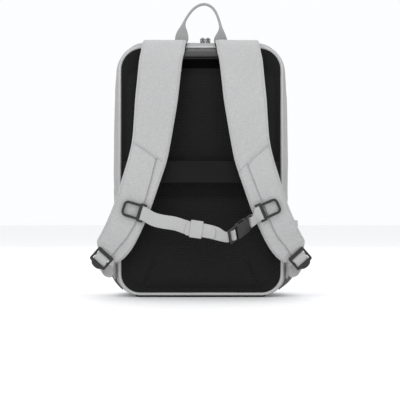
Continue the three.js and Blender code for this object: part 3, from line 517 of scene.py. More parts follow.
def outline(depth, inset):
    """Places round the body at one depth, from the middle of the sole and back to it."""
    reach, crown, sole, head, foot = section(depth, inset)
    angles = [math.pi / 2 * i / CORNER_STEPS for i in range(CORNER_STEPS + 1)]
    low, high = sole + foot, crown - head
    right = [(x * (reach - foot), sole) for x in ramp(END_STEPS)[:-1]]
    right += [(reach - foot + foot * math.sin(a), sole + foot - foot * math.cos(a)) for a in angles]
    right += [(reach, low + (high - low) * share) for share in ramp(SIDE_STEPS + 2)[1:-1]]
    right += [(reach - head + head * math.cos(a), high + head * math.sin(a)) for a in angles]
    right += [((reach - head) * (1 - share), crown) for share in ramp(END_STEPS)[1:]]
    return right + [(-x, z) for x, z in right[-2:0:-1]]


def side_place(side, depth, z):
    """The body's side at a depth and a height, and the way that it faces there."""

    def place(share, height):
        reach, _, sole, _, foot = section(share, 0)
        below = clamp(sole + foot - height, 0, foot)
        out = (reach - foot + math.sqrt(foot * foot - below * below)) * narrowing(height, share)
        return Vector((side * out, shell_y(share, height), height))

    along = place(depth + 0.02, z) - place(depth - 0.02, z)
    up = place(depth, z + 0.001) - place(depth, z - 0.001)
    facing = along.cross(up).normalized()
    return place(depth, z), facing if facing.x * side > 0 else -facing


print("outline points", len(outline(0, 0)))

# %% [markdown]
# The gusset is two bands that follow the outline. Slow creases move the cloth a little, and fade
# out at the back seam and the sole. The two bands draw apart along the zip, so that the tape lies
# between them, and each band's long edges turn inwards.

# %% The two gusset bands
WALL = 0.0025
SEAM_GAP = 0.0003
FRONT_START = 0.93
ZIP_END = 0.1729
ZIP_OPENING = 0.0048
ROLLED_EDGE = 0.0018


def shell_ring(depth, inset):
    ring = []
    for x, z in outline(depth, inset):
        point = Vector((x * narrowing(z, depth), shell_y(depth, z), z))
        lively = blend_in(depth / 0.08) * blend_in((z - 0.004) / 0.03)
        tall = (point.x, point.y, point.z * 3)
        pull = crease_by(point, 16, 0.0011, 3) + crease_by(tall, 30, 0.0006)
        away = Vector((point.x, 0, point.z - BODY_HEIGHT / 2)).normalized()
        ring.append(point + away * lively * pull)
    return ring


def zip_gap(z):
    """How far each band stops short of the zip's middle line, at a height."""
    return ZIP_OPENING * blend_in((z - ZIP_END + 0.007) / 0.012)


def near_zip(share):
    """1 at the zip's depth, and 0 from 20 mm away from it."""
    return 1 - blend_in(abs(share - ZIP_SHARE) * SHELL_DEPTH / 0.02)


def opened(ring, share, zip_side):
    return [p + Vector((0, zip_side * near_zip(share) * zip_gap(p.z), 0)) for p in ring]


def gusset(name, start, end, zip_side):
    count = max(int((end - start) * 56), 8)
    edge = ROLLED_EDGE / SHELL_DEPTH
    shares = [start, start + edge * 0.4, start + edge]
    shares += [start + edge + (end - start - 2 * edge) * s for s in ramp(count)[1:-1]]
    shares += [end - edge, end - edge * 0.4, end]
    rings = []
    for share in shares:
        near = min(share - start, end - share) / edge
        rolled = shell_ring(share, 0.0011 * (1 - min(near, 1) ** 0.5))
        rings.append(opened(rolled, share, zip_side))
    inner = [opened(shell_ring(share, WALL), share, zip_side) for share in shares[::-2]]
    return loft(name, rings + inner, gusset_cloth, closed=True)


# %% [markdown]
# The front is one piece of grey cloth that folds round the body's front edge and meets the gusset
# at a seam. It crowns a little and leans with the body, so it is drawn as rings that shrink
# towards its middle.

# %% The front
FRONT_CROWN = 0.005
FRONT_STEPS = (0.004, 0.06, 0.12, 0.2, 0.3, 0.4, 0.5, 0.6, 0.7, 0.8, 0.88, 0.94, 0.98)
LINING_STEPS = (0.97, 0.78, 0.45, 0.05)


def front_level(z, inset):
    """The front's own depth at a height, without the crown."""
    return shell_y(1.0, z) - inset


def front_ring(inset, scale):
    """A ring of the front, drawn in towards its middle; it crowns a little and creases slowly."""
    middle, ring = BODY_HEIGHT / 2, []
    for point in shell_ring(1.0, inset):
        x, z = point.x * scale, middle + (point.z - middle) * scale
        loose = blend_in((1 - scale) / 0.2)
        rise = FRONT_CROWN * (1 - scale**2.2) + crease_by((x, 0, z), 12, 0.0012) * loose
        slack = (point.y - front_level(point.z, 0)) * (1 - loose)
        ring.append(Vector((x, front_level(z, inset) + rise + slack, z)))
    return ring


def front_panel():
    start = FRONT_START + SEAM_GAP / SHELL_DEPTH
    rings = [front_ring(0, step) for step in FRONT_STEPS]
    rings += [shell_ring(share, 0) for share in (1.0, 0.985, 0.965, 0.945)]
    rings += [shell_ring(start + 0.008, 0.0004), shell_ring(start, 0.0012)]
    rings += [shell_ring(share, WALL) for share in (start, 0.96, 0.985)]
    rings += [front_ring(WALL, step) for step in LINING_STEPS]
    return loft("front_cloth", rings, grey_cloth)


def place_for(piece, *nodes):
    """The piece stands for these nodes of the frame and rides on the backpack's body."""
    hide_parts(*nodes)
    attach(piece, "pack")
    print(piece.name, len(piece.data.polygons), "faces")


rear_gusset = gusset("rear_gusset_cloth", 0.0, ZIP_SHARE - SEAM_GAP / SHELL_DEPTH, -1)
front_gusset = gusset("front_gusset_cloth", ZIP_SHARE, FRONT_START, 1)
front = front_panel()
place_for(rear_gusset, "rear_gusset")
place_for(front_gusset, "front_gusset")
place_for(front, "front_panel")

# %% [markdown]


# %% [markdown]
# Piping is a bias strip sewn round a cord. It frames the back panel and hides the seam where the
# panel, the gusset and the lining meet. A round tube follows the same outline as the panel.

# %% Piping round the back panel
PIPING_AWAY, PIPING_RADIUS, PIPING_STEPS = 0.0028, 0.00255, 16


def piping_ring(angle):
    away = PIPING_AWAY + PIPING_RADIUS * math.cos(angle)
    level = PANEL_PLANE - PIPING_AWAY + PIPING_RADIUS * math.sin(angle)
    ring = outline(0, away)
    return [Vector((x, level + crease_by((x, 0, z), 40, 0.0003), z)) for x, z in ring]


piping_rings = [piping_ring(TURN * i / PIPING_STEPS) for i in range(PIPING_STEPS)]
piping = loft("piping_cloth", piping_rings, edge_cloth, closed=True)
place_for(piping, "edge_piping")

# %% [markdown]
# The back panel is one field of foam under spacer mesh, pressed into two pads with a channel
# between them. Every place on it has a height above the flat seam, so it is drawn as a grid that
# is pushed out by that height. The rolled top edge and the two angled vents are part of it.

# %% The back panel's relief
PANEL_FACE = PANEL_PLANE - 0.0047
PAD_RISE = 0.0073
UPPER_PAD, LOWER_PAD = (0.206, 0.404), (0.0169, 0.184)
PAD_REACH = 0.131
ROLL_HEIGHT, ROLL_HALF, ROLL_RADIUS = 0.4327, 0.098, 0.0085
ROLL_LOW, RECESS_SHADE_LOW = 0.0088, 0.026
VENT_ANGLE, VENT_X, VENT_Z, VENT_HALF = 24, 0.092, 0.043, 0.02
PANEL_BACK = 0.007


def inside_pad(x, z, low, high, corner):
    """How far a place lies inside a rounded rectangle, less than 0 outside it."""
    middle, half = (low + high) / 2, (high - low) / 2
    dx = abs(x) - (PAD_REACH - corner)
    dz = abs(z - middle) - (half - corner)
    outside = math.hypot(max(dx, 0), max(dz, 0)) + min(max(dx, dz), 0)
    return corner - outside


def pad_height(depth_in):
    if depth_in <= 0:
        return 0.0
    share = clamp(depth_in / 0.024)
    return PAD_RISE * (1 - (1 - share) ** 2.6)


def vent(x, z, side):
    angle = math.radians(90 + side * VENT_ANGLE)
    dx, dz = x - side * VENT_X, z - VENT_Z
    along = dx * math.cos(angle) + dz * math.sin(angle)
    across = -dx * math.sin(angle) + dz * math.cos(angle)
    beyond = max(abs(along) - VENT_HALF, 0)
    return math.exp(-((math.hypot(across, beyond * 0.7) / 0.0028) ** 2))


def panel_relief(x, z):
    upper = pad_height(inside_pad(x, z, *UPPER_PAD, 0.026))
    lower = pad_height(inside_pad(x, z, *LOWER_PAD, 0.034))
    height = max(upper, lower)
    height += 0.0011 * height / PAD_RISE * math.cos(x / PAD_REACH * 1.4)
    for side in (-1, 1):
        height -= 0.0032 * vent(x, z, side)
    height += crease_by((x, 0, z), 18, 0.0009, 7) * (0.3 + height / PAD_RISE)
    reach = abs(x) / ROLL_HALF
    rise = (z - ROLL_HEIGHT) / ROLL_RADIUS
    if reach < 1 and abs(rise) < 1:
        plump = (1 - reach**6) ** 0.5
        height = max(height, 0.0105 * plump * (1 - rise * rise) ** 0.5)
    return height


# %% [markdown]
# Each row of the grid is as wide as the outline allows. A second sheet behind it and a rim between
# the two close the piece. The roll takes a cloth of its own, and the strip under it takes a near
# black cloth that paints the shade in the recess below the roll.

# %% The back panel's mesh
def panel_grid(columns, rows):
    reach, crown, sole, head, foot = section(0, PANEL_INSET)
    grid = []
    for v in ramp(rows):
        # rows lie closer together near the sole and the crown
        even = 0.5 - 0.5 * math.cos(math.pi * (v * 0.94 + 0.03)) - 0.0022
        z = clamp(sole + (crown - sole) * even / 0.9956, sole, crown)
        low, high = max(sole + foot - z, 0), max(z - crown + head, 0)
        out = reach
        if low > 0:
            out = reach - foot + math.sqrt(max(foot * foot - low * low, 0))
        if high > 0:
            out = reach - head + math.sqrt(max(head * head - high * high, 0))
        grid.append([Vector((out * (2 * u - 1), 0, z)) for u in ramp(columns)])
    return grid


def back_panel():
    columns, rows = 120, 200
    grid = panel_grid(columns, rows)
    points, cuts = [], []
    for row in grid:
        for point in row:
            points.append(Vector((point.x, PANEL_FACE - panel_relief(point.x, point.z), point.z)))
            cuts.append((point.x, point.z))
    size = rows * columns
    points += [Vector((p.x, PANEL_FACE + PANEL_BACK, p.z)) for row in grid for p in row]
    cuts += cuts
    faces = []
    for i in range(rows - 1):
        for j in range(columns - 1):
            a = i * columns + j
            b, c, d = a + 1, a + columns + 1, a + columns
            faces.append((a, b, c, d))
            faces.append((a + size, d + size, c + size, b + size))
    rim = list(range(columns))
    rim += [i * columns + columns - 1 for i in range(1, rows)]
    rim += [(rows - 1) * columns + j for j in range(columns - 2, -1, -1)]
    rim += [i * columns for i in range(rows - 2, 0, -1)]
    for a, b in zip(rim, rim[1:] + rim[:1]):
        faces.append((a, a + size, b + size, b))
    piece = make("back_panel_mesh", points, faces, black_mesh, cuts)
    piece.data.materials.append(roll_cloth)
    piece.data.materials.append(recess_shade_cloth)
    for polygon in piece.data.polygons:
        x, y, z = polygon.center
        if abs(x) < ROLL_HALF and y < PANEL_FACE + 0.001:
            if z > ROLL_HEIGHT - ROLL_LOW:
                polygon.material_index = 1
            # the strip under the roll gets painted shade: a near black cloth for the shadow in its
            # recess
            elif z > ROLL_HEIGHT - RECESS_SHADE_LOW:
                polygon.material_index = 2
    return piece


panel = back_panel()
place_for(panel, "back_panel")

# %% [markdown]
# A ribbon is a strip with a face and an underside along a path. Each place on the path has a
# centre, a direction across and a normal.

# %% Ribbons along a path
def ribbon_frames(centres, acrosses):
    frames = []
    for i, (centre, across) in enumerate(zip(centres, acrosses)):
        run = centres[min(i + 1, len(centres) - 1)] - centres[max(i - 1, 0)]
        frames.append((centre, across, run.normalized().cross(across).normalized()))
    return frames


def ribbon(name, frames, half, face, under, places, material):
    """A strip over frames of centre, across and normal: face and under give its two levels."""
    rings = []
    for i, (centre, across, normal) in enumerate(frames):
        share = i / (len(frames) - 1)
        side = across.normalized() * half(share)
        top = [centre + side * a + normal * face(a, share) for a in places]
        low = [centre + side * a + normal * under(a, share) for a in reversed(places)]
        rings.append(top + low)
    return loft(name, rings, material)


def along_path(points, count):
    """The same path with evenly spaced points on a smooth curve."""
    run = lengths(points)
    table = [(s, *p) for s, p in zip(run, points)]
    return [Vector(read(table, run[-1] * share)) for share in ramp(count)]


# %% [markdown]
# The luggage band is a flat tube of smooth cloth sewn at both ends, so that the bars of a trolley
# handle can slide behind it. Its long edges are hemmed, and the hem is thicker, which is why a
# thin highlight runs along the lower edge.

# %% The luggage band
BAND_END = section(0, PANEL_INSET)[0] - 0.003
BAND_MIDDLE, BAND_HALF, BAND_CUT = 0.2225, 0.0195, 0.041
BAND = [(1.0, 0.0), (0.95, 0.18), (0.7, 0.95), (0.5, 1.0), (0.0, 1.0)]
BAND_LOWER = [-1, -0.985, -0.95, -0.88, -0.8, -0.74, -0.7, -0.4, 0]
BAND_UPPER = [0.4, 0.7, 0.76, 0.82, 0.9, 0.96, 0.99, 1]


def band_level(a, share, face):
    """The band's face (1) or underside (-1) at a place across it, with its hem and its folds."""
    hem = 0.0011 if abs(a) > 0.78 else 0.0008
    fold = 0.0009 * math.sin(a * 2.2 + share * 9) * blend_in((0.9 - abs(a)) / 0.3)
    return face * hem * (1 - clamp((abs(a) - 0.94) / 0.06) ** 3) + fold


def luggage_band():
    near, far = PANEL_FACE - 0.0013, PANEL_PLANE - 0.034
    half = [(r * BAND_END, near + (far - near) * s) for r, s in BAND]
    line = [Vector((-x, y, BAND_MIDDLE)) for x, y in half]
    line += [Vector((x, y, BAND_MIDDLE)) for x, y in half[-2::-1]]
    centres = along_path(line, 110)
    centres = [Vector((p.x, max(p.y, far - 0.0006), p.z)) for p in centres]
    frames = ribbon_frames(centres, [Vector((0, 0, BAND_HALF))] * len(centres))
    return ribbon(
        "luggage_band_cloth",
        frames,
        lambda share: BAND_HALF,
        lambda a, share: band_level(a, share, 1),
        lambda a, share: band_level(a, share, -1),
        BAND_LOWER + BAND_UPPER,
        black_cloth,
    )


band = luggage_band()
place_for(band, "luggage_band")

# %% [markdown]
# A shoulder strap is a foam core between a cloth face and a mesh underside, sewn round its edge.
# The table gives its middle line and its width from the root over the top edge down to its tip.
# The stitched edge is pressed thin, and the foam between the seams is softly crowned.

# %% The strap's middle surface
STRAP_HALF, STRAP_THICK, STANDOFF = 0.038, 0.009, 0.054
SIDES = (("left", -1), ("right", 1))
# row, reach, height, width, slant, standoff, thickness
STRAP = [
    (0, 0.4011, 1.004, 0.97, 0, -0.26, 0.4),
    (1, 0.4051, 1.002, 1.0, 0, -0.1, 0.6),
    (2, 0.4112, 0.9965, 1.01, 0, 0.12, 0.85),
    (3, 0.4203, 0.98, 1.01, 0, 0.31, 1.0),
    (4, 0.4304, 0.954, 1.01, 0, 0.45, 1.0),
    (5, 0.4517, 0.916, 1.0, 0, 0.58, 1.0),
    (6, 0.474, 0.84, 0.99, 0, 0.71, 1.0),
    (7, 0.4963, 0.7646, 0.98, 1, 0.81, 1.0),
    (8, 0.5216, 0.685, 0.93, 2, 0.89, 1.0),
    (9, 0.551, 0.605, 0.885, 4, 0.96, 1.0),
    (10, 0.5935, 0.535, 0.88, 8, 1.0, 1.0),
    (11, 0.6725, 0.449, 0.855, 13, 1.02, 1.0),
    (12, 0.7697, 0.35, 0.83, 20, 0.98, 1.0),
    (13, 0.875, 0.267, 0.815, 25, 0.87, 1.0),
    (14, 0.9469, 0.2213, 0.8, 28, 0.72, 0.95),
    (15, 1.0148, 0.1884, 0.74, 34, 0.63, 0.85),
    (16, 1.0543, 0.1686, 0.56, 42, 0.56, 0.7),
]
LAST_ROW = 16


def strap_centre(side, row):
    reach, height, _, _, standoff, _ = read(STRAP, row)
    y = PANEL_PLANE - standoff * STANDOFF
    return Vector((side * reach * HALF_WIDTH, y, height * BODY_HEIGHT))


def strap_frame(side, row):
    """Centre, the direction towards the body's middle, the way the face looks, half the width."""
    _, _, width, slant, _, fill = read(STRAP, row)
    angle = math.radians(slant)
    right = Vector((math.cos(angle), 0, side * math.sin(angle)))
    run = strap_centre(side, row + 0.3) - strap_centre(side, row - 0.3)
    normal = run.cross(right).normalized()
    return strap_centre(side, row), right * -side, normal, width * STRAP_HALF, fill


def strap_point(side, row, across, level):
    centre, inward, normal, half, fill = strap_frame(side, clamp(row, 0, LAST_ROW))
    return centre + inward * across * half + normal * level(fill)


# %% [markdown]
# The strap's two cloth layers are drawn on that surface. The face has a seam line a few
# millimetres in from both edges, and slow uneven folds where the strap turns inward and where
# the webbing pulls at its tip.

# %% The padded strap, its backing and its lower facing
SEAM_ACROSS = 0.893
EDGES = [1.0, 0.992, 0.975, 0.95, 0.925, 0.905, SEAM_ACROSS]
EDGES += [0.881, 0.865, 0.84, 0.8, 0.74, 0.66, 0.56]
ACROSS = [-e for e in EDGES] + [-0.44, -0.3, -0.15, 0, 0.15, 0.3, 0.44] + EDGES[::-1]
STRAP_RINGS, LAYER, FACING_LAYER = 280, 0.0016, 0.0014

# where the diagonal seams cross the strap: the row at its outer edge and at its inner edge
SEAM = {-1: (9.02, 10.13), 1: (9.2, 10.46)}
SOFT_FOLD = (8.73, 10.26)
ROW_LENGTH = 0.036


def past_line(line, row, across):
    """How far a place lies past a diagonal line on the strap, in metres along the strap."""
    return (row - line[0] - (line[1] - line[0]) * (across + 1) / 2) * ROW_LENGTH


def strap_folds(side, row, across):
    point = strap_point(side, row, across, lambda fill: 0)
    slow = crease_by(point, 17, 0.0009, side)
    slow -= 0.0008 * math.exp(-((past_line(SEAM[side], row, across) / 0.0013) ** 2))
    if side > 0:
        slow += 0.0009 * blend_in(past_line(SOFT_FOLD, row, across) / 0.004 + 0.5) - 0.0005
    bend = math.exp(-(((row - 12.9) / 0.8) ** 2)) * math.exp(-(((across + 0.75) / 0.3) ** 2))
    tip = math.exp(-(((row - 14.6) / 0.6) ** 2)) * (0.4 - 0.6 * across)
    ripple = math.sin(row * 11 + across * 3)
    return slow + 0.0008 * bend * math.sin(row * 9) + 0.0005 * tip * ripple


def strap_face(across, fill):
    edge = abs(across)
    half = fill * STRAP_THICK / 2
    rounded = half * (1 - 0.72 * clamp((edge - 0.86) / 0.14) ** 2.2)
    seam = 0.0009 * math.exp(-(((edge - SEAM_ACROSS) / 0.013) ** 2))
    return rounded - seam


def strap_body(name, side):
    rings = []
    for share in ramp(STRAP_RINGS):
        row = LAST_ROW * share**0.93
        tip = math.sqrt(clamp(1 - ((row - 15.75) / 0.25) ** 2)) if row > 15.75 else 1.0

        def top(a):
            fold = strap_folds(side, row, a) * blend_in((0.95 - abs(a)) / 0.2)
            return lambda fill: strap_face(a, fill) * (0.35 + 0.65 * tip) + fold

        def low(a):
            return lambda fill: -strap_face(a, fill) * (0.35 + 0.65 * tip)

        rings.append([strap_point(side, row, a, top(a)) for a in ACROSS]
                     + [strap_point(side, row, a, low(a)) for a in reversed(ACROSS[::2])])
    if len(rings[0]) % 2:
        rings = [ring[:-1] for ring in rings]
    return loft(f"strap_pad_{name}", rings, grey_cloth)


def strap_layer(title, side, rows, low, high, thick, lift, material, count=120, columns=16):
    """One thin cloth layer between two places across the strap, on its face or underside."""
    rings = []
    for i in range(count):
        share = i / (count - 1)
        outer = rows[0][0] + (rows[1][0] - rows[0][0]) * share
        inner = rows[0][1] + (rows[1][1] - rows[0][1]) * share
        top, under = [], []
        for u in ramp(columns):
            row, across = outer + (inner - outer) * u, low + (high(inner) - low) * u
            thin = clamp(min(u, 1 - u) / 0.03) ** 0.5
            ends = clamp(min(share, 1 - share) / 0.006) ** 0.5
            half = thick / 2 * (0.25 + 0.75 * thin * ends)
            fold = strap_folds(side, row, across)
            top.append(strap_point(side, row, across, lambda f: lift(f) + half + fold))
            under.append(strap_point(side, row, across, lambda f: lift(f) - half + fold))
        rings.append(top + under[::-1])
    return loft(title, rings, material)


def backing_lift(fill):
    return -(fill * STRAP_THICK + LAYER) / 2 - 0.0006


def facing_lift(fill):
    return (fill * STRAP_THICK + LAYER) / 2 + 0.0001


# row, and how far across the facing's inner edge lies on the left and on the right strap
FACING_EDGE = [
    (9, 0.46, 0.46), (10.2, 0.48, 0.44), (11, 0.56, 0.4), (12, 0.6, 0.3),
    (13, 0.5, 0.32), (14.4, 0.34, 0.2), (16, 0.42, 0.34),
]


def facing_edge(side):
    return lambda row: read(FACING_EDGE, row)[0 if side < 0 else 1]


def facing_rows(side):
    outer, inner = SEAM[side]
    across = facing_edge(side)(10)
    return (outer + 0.1, outer + (inner - outer) * (across + 1) / 2 + 0.06), (LAST_ROW, LAST_ROW)


WHOLE_STRAP = ((0, 0), (LAST_ROW, LAST_ROW))
for name, side in SIDES:
    pad = strap_body(name, side)
    backing = strap_layer(
        f"strap_backing_{name}", side, WHOLE_STRAP, -1.01, lambda row: 1.02, LAYER,
        backing_lift, black_lining
    )
    facing = strap_layer(
        f"strap_facing_{name}", side, facing_rows(side), -0.93, facing_edge(side), FACING_LAYER,
        facing_lift, grey_cloth
    )
    place_for(pad, f"shoulder_strap_{name}")
    place_for(backing, f"strap_lining_{name}")
    place_for(facing, f"strap_overlay_{name}")

# %% [markdown]
# Webbing, the handle and the small cloth tabs keep the frame's shape, because they are flat
# straps with known thickness. A copy of each node is merged, its triangles are joined to quads
# and a subdivision rounds it. The cut map runs along two directions that are given per piece.

# %% Soft copies of the frame's pieces
def node_copy(title, node, tidy=0.0):
    source = bpy.data.objects[node]
    mesh = source.data.copy()
    mesh.name = title
    work = bmesh.new()
    work.from_mesh(mesh)
    bmesh.ops.remove_doubles(work, verts=work.verts[:], dist=2e-5)
    if tidy:
        bmesh.ops.dissolve_limit(
            work, angle_limit=tidy, verts=work.verts[:], edges=work.edges[:]
        )
    else:
        bmesh.ops.join_triangles(
            work, faces=work.faces[:], angle_face_threshold=0.7, angle_shape_threshold=1.2
        )
    work.to_mesh(mesh)
    work.free()
    piece = placed(title, mesh)
    mesh.materials.clear()
    return piece


def applied(piece):
    """The piece's shape with its modifiers applied, and no modifier left on it."""
    shown = piece.evaluated_get(bpy.context.evaluated_depsgraph_get())
    mesh = bpy.data.meshes.new_from_object(shown)
    piece.modifiers.clear()
    old, piece.data = piece.data, mesh
    bpy.data.meshes.remove(old)
    mesh.name = piece.name
    return piece


def map_along(piece, axis, up):
    mesh = piece.data
    layer = mesh.uv_layers.new(name="cut")
    for loop in mesh.loops:
        place = mesh.vertices[loop.vertex_index].co
        layer.data[loop.index].uv = (place.dot(Vector(up)), place.dot(Vector(axis)))


def soft_copy(title, node, material, axis, up, levels=2):
    piece = node_copy(title, node)
    rounding = piece.modifiers.new("rounding", "SUBSURF")
    rounding.levels = rounding.render_levels = levels
    applied(piece)
    map_along(piece, axis, up)
    piece.data.shade_smooth()
    piece.data.materials.append(material)
    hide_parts(node)
    print(title, len(piece.data.polygons), "faces")
    return piece


def hard_copy(title, node, material, radius=0.0005):
    piece = node_copy(title, node, tidy=0.02)
    rounding = piece.modifiers.new("rounding", "BEVEL")
    rounding.width, rounding.segments, rounding.limit_method = radius, 3, "ANGLE"
    rounding.angle_limit = math.radians(28)
    rounding.harden_normals = False
    applied(piece)
    piece.data.shade_smooth()
    piece.data.set_sharp_from_angle(angle=math.radians(40))
    piece.data.materials.append(material)
    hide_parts(node)
    print(title, len(piece.data.polygons), "faces")
    return piece


# %% [markdown]
# Each line gives the new piece, its node, the direction along it and the direction across it.

# %% Webbing, keeper, tabs and handle
for title, node, axis, up in (
    ("chest_webbing_left", "sternum_webbing_left", (0.98, 0, -0.17), (0.17, 0, 0.98)),
    ("chest_webbing_right", "sternum_webbing_right", (0.9, 0, 0.4), (-0.4, 0, 0.9)),
    ("chest_webbing_end", "sternum_tail", (1, 0, -0.1), (0.1, 0, 1)),
    ("lower_webbing_cloth_left", "lower_webbing_left", (-0.7, 0, -0.7), (0.7, 0, -0.7)),
    ("lower_webbing_cloth_right", "lower_webbing_right", (0.7, 0, -0.7), (0.7, 0, 0.7)),
    ("anchor_tab_cloth_left", "anchor_tab_left", (0, 1, 0), (0, 0, 1)),
    ("anchor_tab_cloth_right", "anchor_tab_right", (0, 1, 0), (0, 0, 1)),
    ("keeper_cloth", "webbing_keeper", (0, 0, 1), (1, 0, 0)),
):
    strip = soft_copy(title, node, grey_webbing, axis, up)
    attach(strip, "pack")

handle = soft_copy("handle_strap", "grab_handle", handle_webbing, (0, 0, 1), (1, 0, 0))
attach(handle, "pack")

# %% [markdown]
# The plastic and metal parts are copies of the frame's nodes, because their openings and bars are
# exact there. A bevel rounds their edges.

# %% Buckle, sliders, locks and zip hardware
for title, node in (
    ("chest_slider_left", "sternum_slider_left"),
    ("chest_slider_right", "sternum_slider_right"),
    ("buckle_body", "buckle_socket"),
    ("buckle_fork", "buckle_plug"),
    ("lock_left", "ladder_lock_left"),
    ("lock_right", "ladder_lock_right"),
):
    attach(hard_copy(title, node, black_plastic, 0.0006), "pack")

for name, _ in SIDES:
    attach(hard_copy(f"slider_{name}", f"zip_slider_{name}", zip_metal, 0.0004), "pack")
    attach(hard_copy(f"pull_tab_{name}", f"zip_pull_{name}", zip_metal, 0.0003), f"pull_{name}")

# %% [markdown]
# The base is a copy of the frame's node in a cloth of its own, and one subdivision rounds it.

# %% Base
base = soft_copy("base_cloth_panel", "base_panel", base_cloth, (0, 1, 0), (1, 0, 0), levels=1)
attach(base, "pack")

# %% [markdown]
# The main zip runs up one side, over the top and down the other. Its tape lies between the two
# gusset bands, so it is a thin ribbon along the same outline at the zip's depth. The sliders sit
# a little above the teeth, and a rounded body under each one closes round them.

# %% Zip tape and slider bodies
def zip_line(rise):
    return [
        Vector((x * narrowing(z, ZIP_SHARE), shell_y(ZIP_SHARE, z), z))
        for x, z in outline(ZIP_SHARE, -rise)
        if z > ZIP_END
    ]


def outward(place):
    return Vector((place.x, 0, max(place.z - BODY_HEIGHT + 0.06, 0) * 2.2)).normalized()


def zip_frames(rise, count):
    centres = along_path(zip_line(rise), count)
    frames = []
    for centre, across, normal in ribbon_frames(centres, [Vector((0, 1, 0))] * count):
        frames.append((centre, across, normal if normal.dot(outward(centre)) > 0 else -normal))
    return frames


TAPE_HALF, TAPE_THICK, TAPE_SUNK = 0.0064, 0.0008, 0.0012

tape = ribbon(
    "zip_tape_strip",
    zip_frames(-TAPE_SUNK, 220),
    lambda share: TAPE_HALF,
    lambda a, share: TAPE_THICK / 2,
    lambda a, share: -TAPE_THICK / 2,
    [-1, -0.9, -0.5, 0, 0.5, 0.9, 1],
    zip_tape,
)
place_for(tape, "main_zip")


def rounded_block(name, low, high, radius, material):
    work = bmesh.new()
    bmesh.ops.create_cube(work, size=1.0)
    for vertex in work.verts:
        for k in range(3):
            vertex.co[k] = low[k] if vertex.co[k] < 0 else high[k]
    bmesh.ops.bevel(
        work, geom=work.edges[:], offset=radius, segments=3, profile=0.5, affect="EDGES"
    )
    mesh = bpy.data.meshes.new(name)
    work.to_mesh(mesh)
    work.free()
    mesh.shade_smooth()
    mesh.materials.append(material)
    piece = placed(name, mesh)
    return piece


for name, _ in SIDES:
    low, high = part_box(f"zip_slider_{name}")
    keel = rounded_block(
        f"slider_keel_{name}",
        (low[0] + 0.0003, low[1] + 0.0004, low[2] - 0.0027),
        (high[0] - 0.0003, high[1] - 0.0004, low[2] + 0.0006),
        0.0009,
        zip_metal,
    )
    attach(keel, "pack")

# %% [markdown]
# Each side pocket is a panel gathered onto elastic at its mouth, with a mesh corner low at the
# back. It stands off the body by a bulge that fades to nothing at its seams.

# %% Side pockets
POCKET_RISE = [(0, 0), (0.12, 0.35), (0.3, 0.8), (0.55, 1), (0.8, 0.9), (1, 0.72)]
POCKET_RUN = [(0, 0), (0.1, 0.55), (0.28, 0.92), (0.5, 1), (0.75, 0.88), (0.9, 0.5), (1, 0)]
POCKET = {"left": (-1, 0.009), "right": (1, 0.02)}
POCKET_BACK, POCKET_DEPTH, POCKET_FOOT, POCKET_HEIGHT = 0.012, 0.108, 0.014, 0.122
WINDOW_RUN, WINDOW_RISE, WINDOW_SEAM = 44 / 108, 32 / 122, 0.004


def pocket_point(name, u, v, level):
    side, bulge = POCKET[name]
    share = (POCKET_BACK + u * POCKET_DEPTH) / SHELL_DEPTH
    point, facing = side_place(side, share, POCKET_FOOT + v * POCKET_HEIGHT)
    stand = max(read(POCKET_RUN, u)[0], 0) * max(read(POCKET_RISE, v)[0], 0)
    gather = 0.0009 * math.sin(u * 70) * blend_in((v - 0.72) / 0.25) * blend_in(min(u, 1 - u) / 0.12)
    slack = crease_by((u * 0.11, side, v * 0.12), 45, 0.0012, 5) * blend_in(stand)
    return point + facing * (0.0006 + bulge * stand + gather + slack + level)


def pocket_sheet(title, name, us, vs, keep, thick, material):
    columns, rows = len(vs), len(us)

    def layer(rise):
        return [pocket_point(name, u, v, rise(v)) for u in us for v in vs]

    def outer(v):
        return thick + 0.0014 * blend_in((v - 0.9) / 0.02)

    points = layer(lambda v: 0.0) + layer(outer)
    cuts = [(u * POCKET_DEPTH, v * POCKET_HEIGHT) for u in us for v in vs] * 2
    lift, faces = rows * columns, []

    def held(i, j):
        inside = 0 <= i < rows - 1 and 0 <= j < columns - 1
        return inside and keep((us[i] + us[i + 1]) / 2, (vs[j] + vs[j + 1]) / 2)

    for i in range(rows - 1):
        for j in range(columns - 1):
            if not held(i, j):
                continue
            a, b = i * columns + j, i * columns + j + 1
            c, d = b + columns, a + columns
            faces += [(a, b, c, d), (a + lift, d + lift, c + lift, b + lift)]
            sides = ((i - 1, j, a, b), (i, j + 1, b, c), (i + 1, j, c, d), (i, j - 1, d, a))
            for row, column, p, q in sides:
                if not held(row, column):
                    faces.append((p, q, q + lift, p + lift))
    used = sorted({index for face in faces for index in face})
    place = {index: order for order, index in enumerate(used)}
    faces = [tuple(place[index] for index in face) for face in faces]
    return make(title, [points[i] for i in used], faces, material, [cuts[i] for i in used])


for name in POCKET:
    us = sorted(set(ramp(61) + [WINDOW_RUN - WINDOW_SEAM, WINDOW_RUN]))
    vs = sorted(set(ramp(45) + [WINDOW_RISE - WINDOW_SEAM, WINDOW_RISE]))
    panel_cloth = pocket_sheet(
        f"pocket_cloth_{name}", name, us, vs,
        lambda u, v: u > WINDOW_RUN or v > WINDOW_RISE, 0.0018, grey_cloth
    )
    window = pocket_sheet(
        f"pocket_window_{name}", name, us, vs,
        lambda u, v: u < WINDOW_RUN - WINDOW_SEAM and v < WINDOW_RISE - WINDOW_SEAM, 0.0014,
        pocket_mesh_cloth
    )
    place_for(panel_cloth, f"side_pocket_{name}")
    place_for(window, f"pocket_mesh_{name}")

# %% [markdown]
# Stitches repeat along a path, so geometry nodes lay them: a path of edges becomes a curve, the
# curve is cut into even steps, and a small lentil lies at each step along the tangent. The same
# tree with a block for a stitch lays the teeth of the zip.

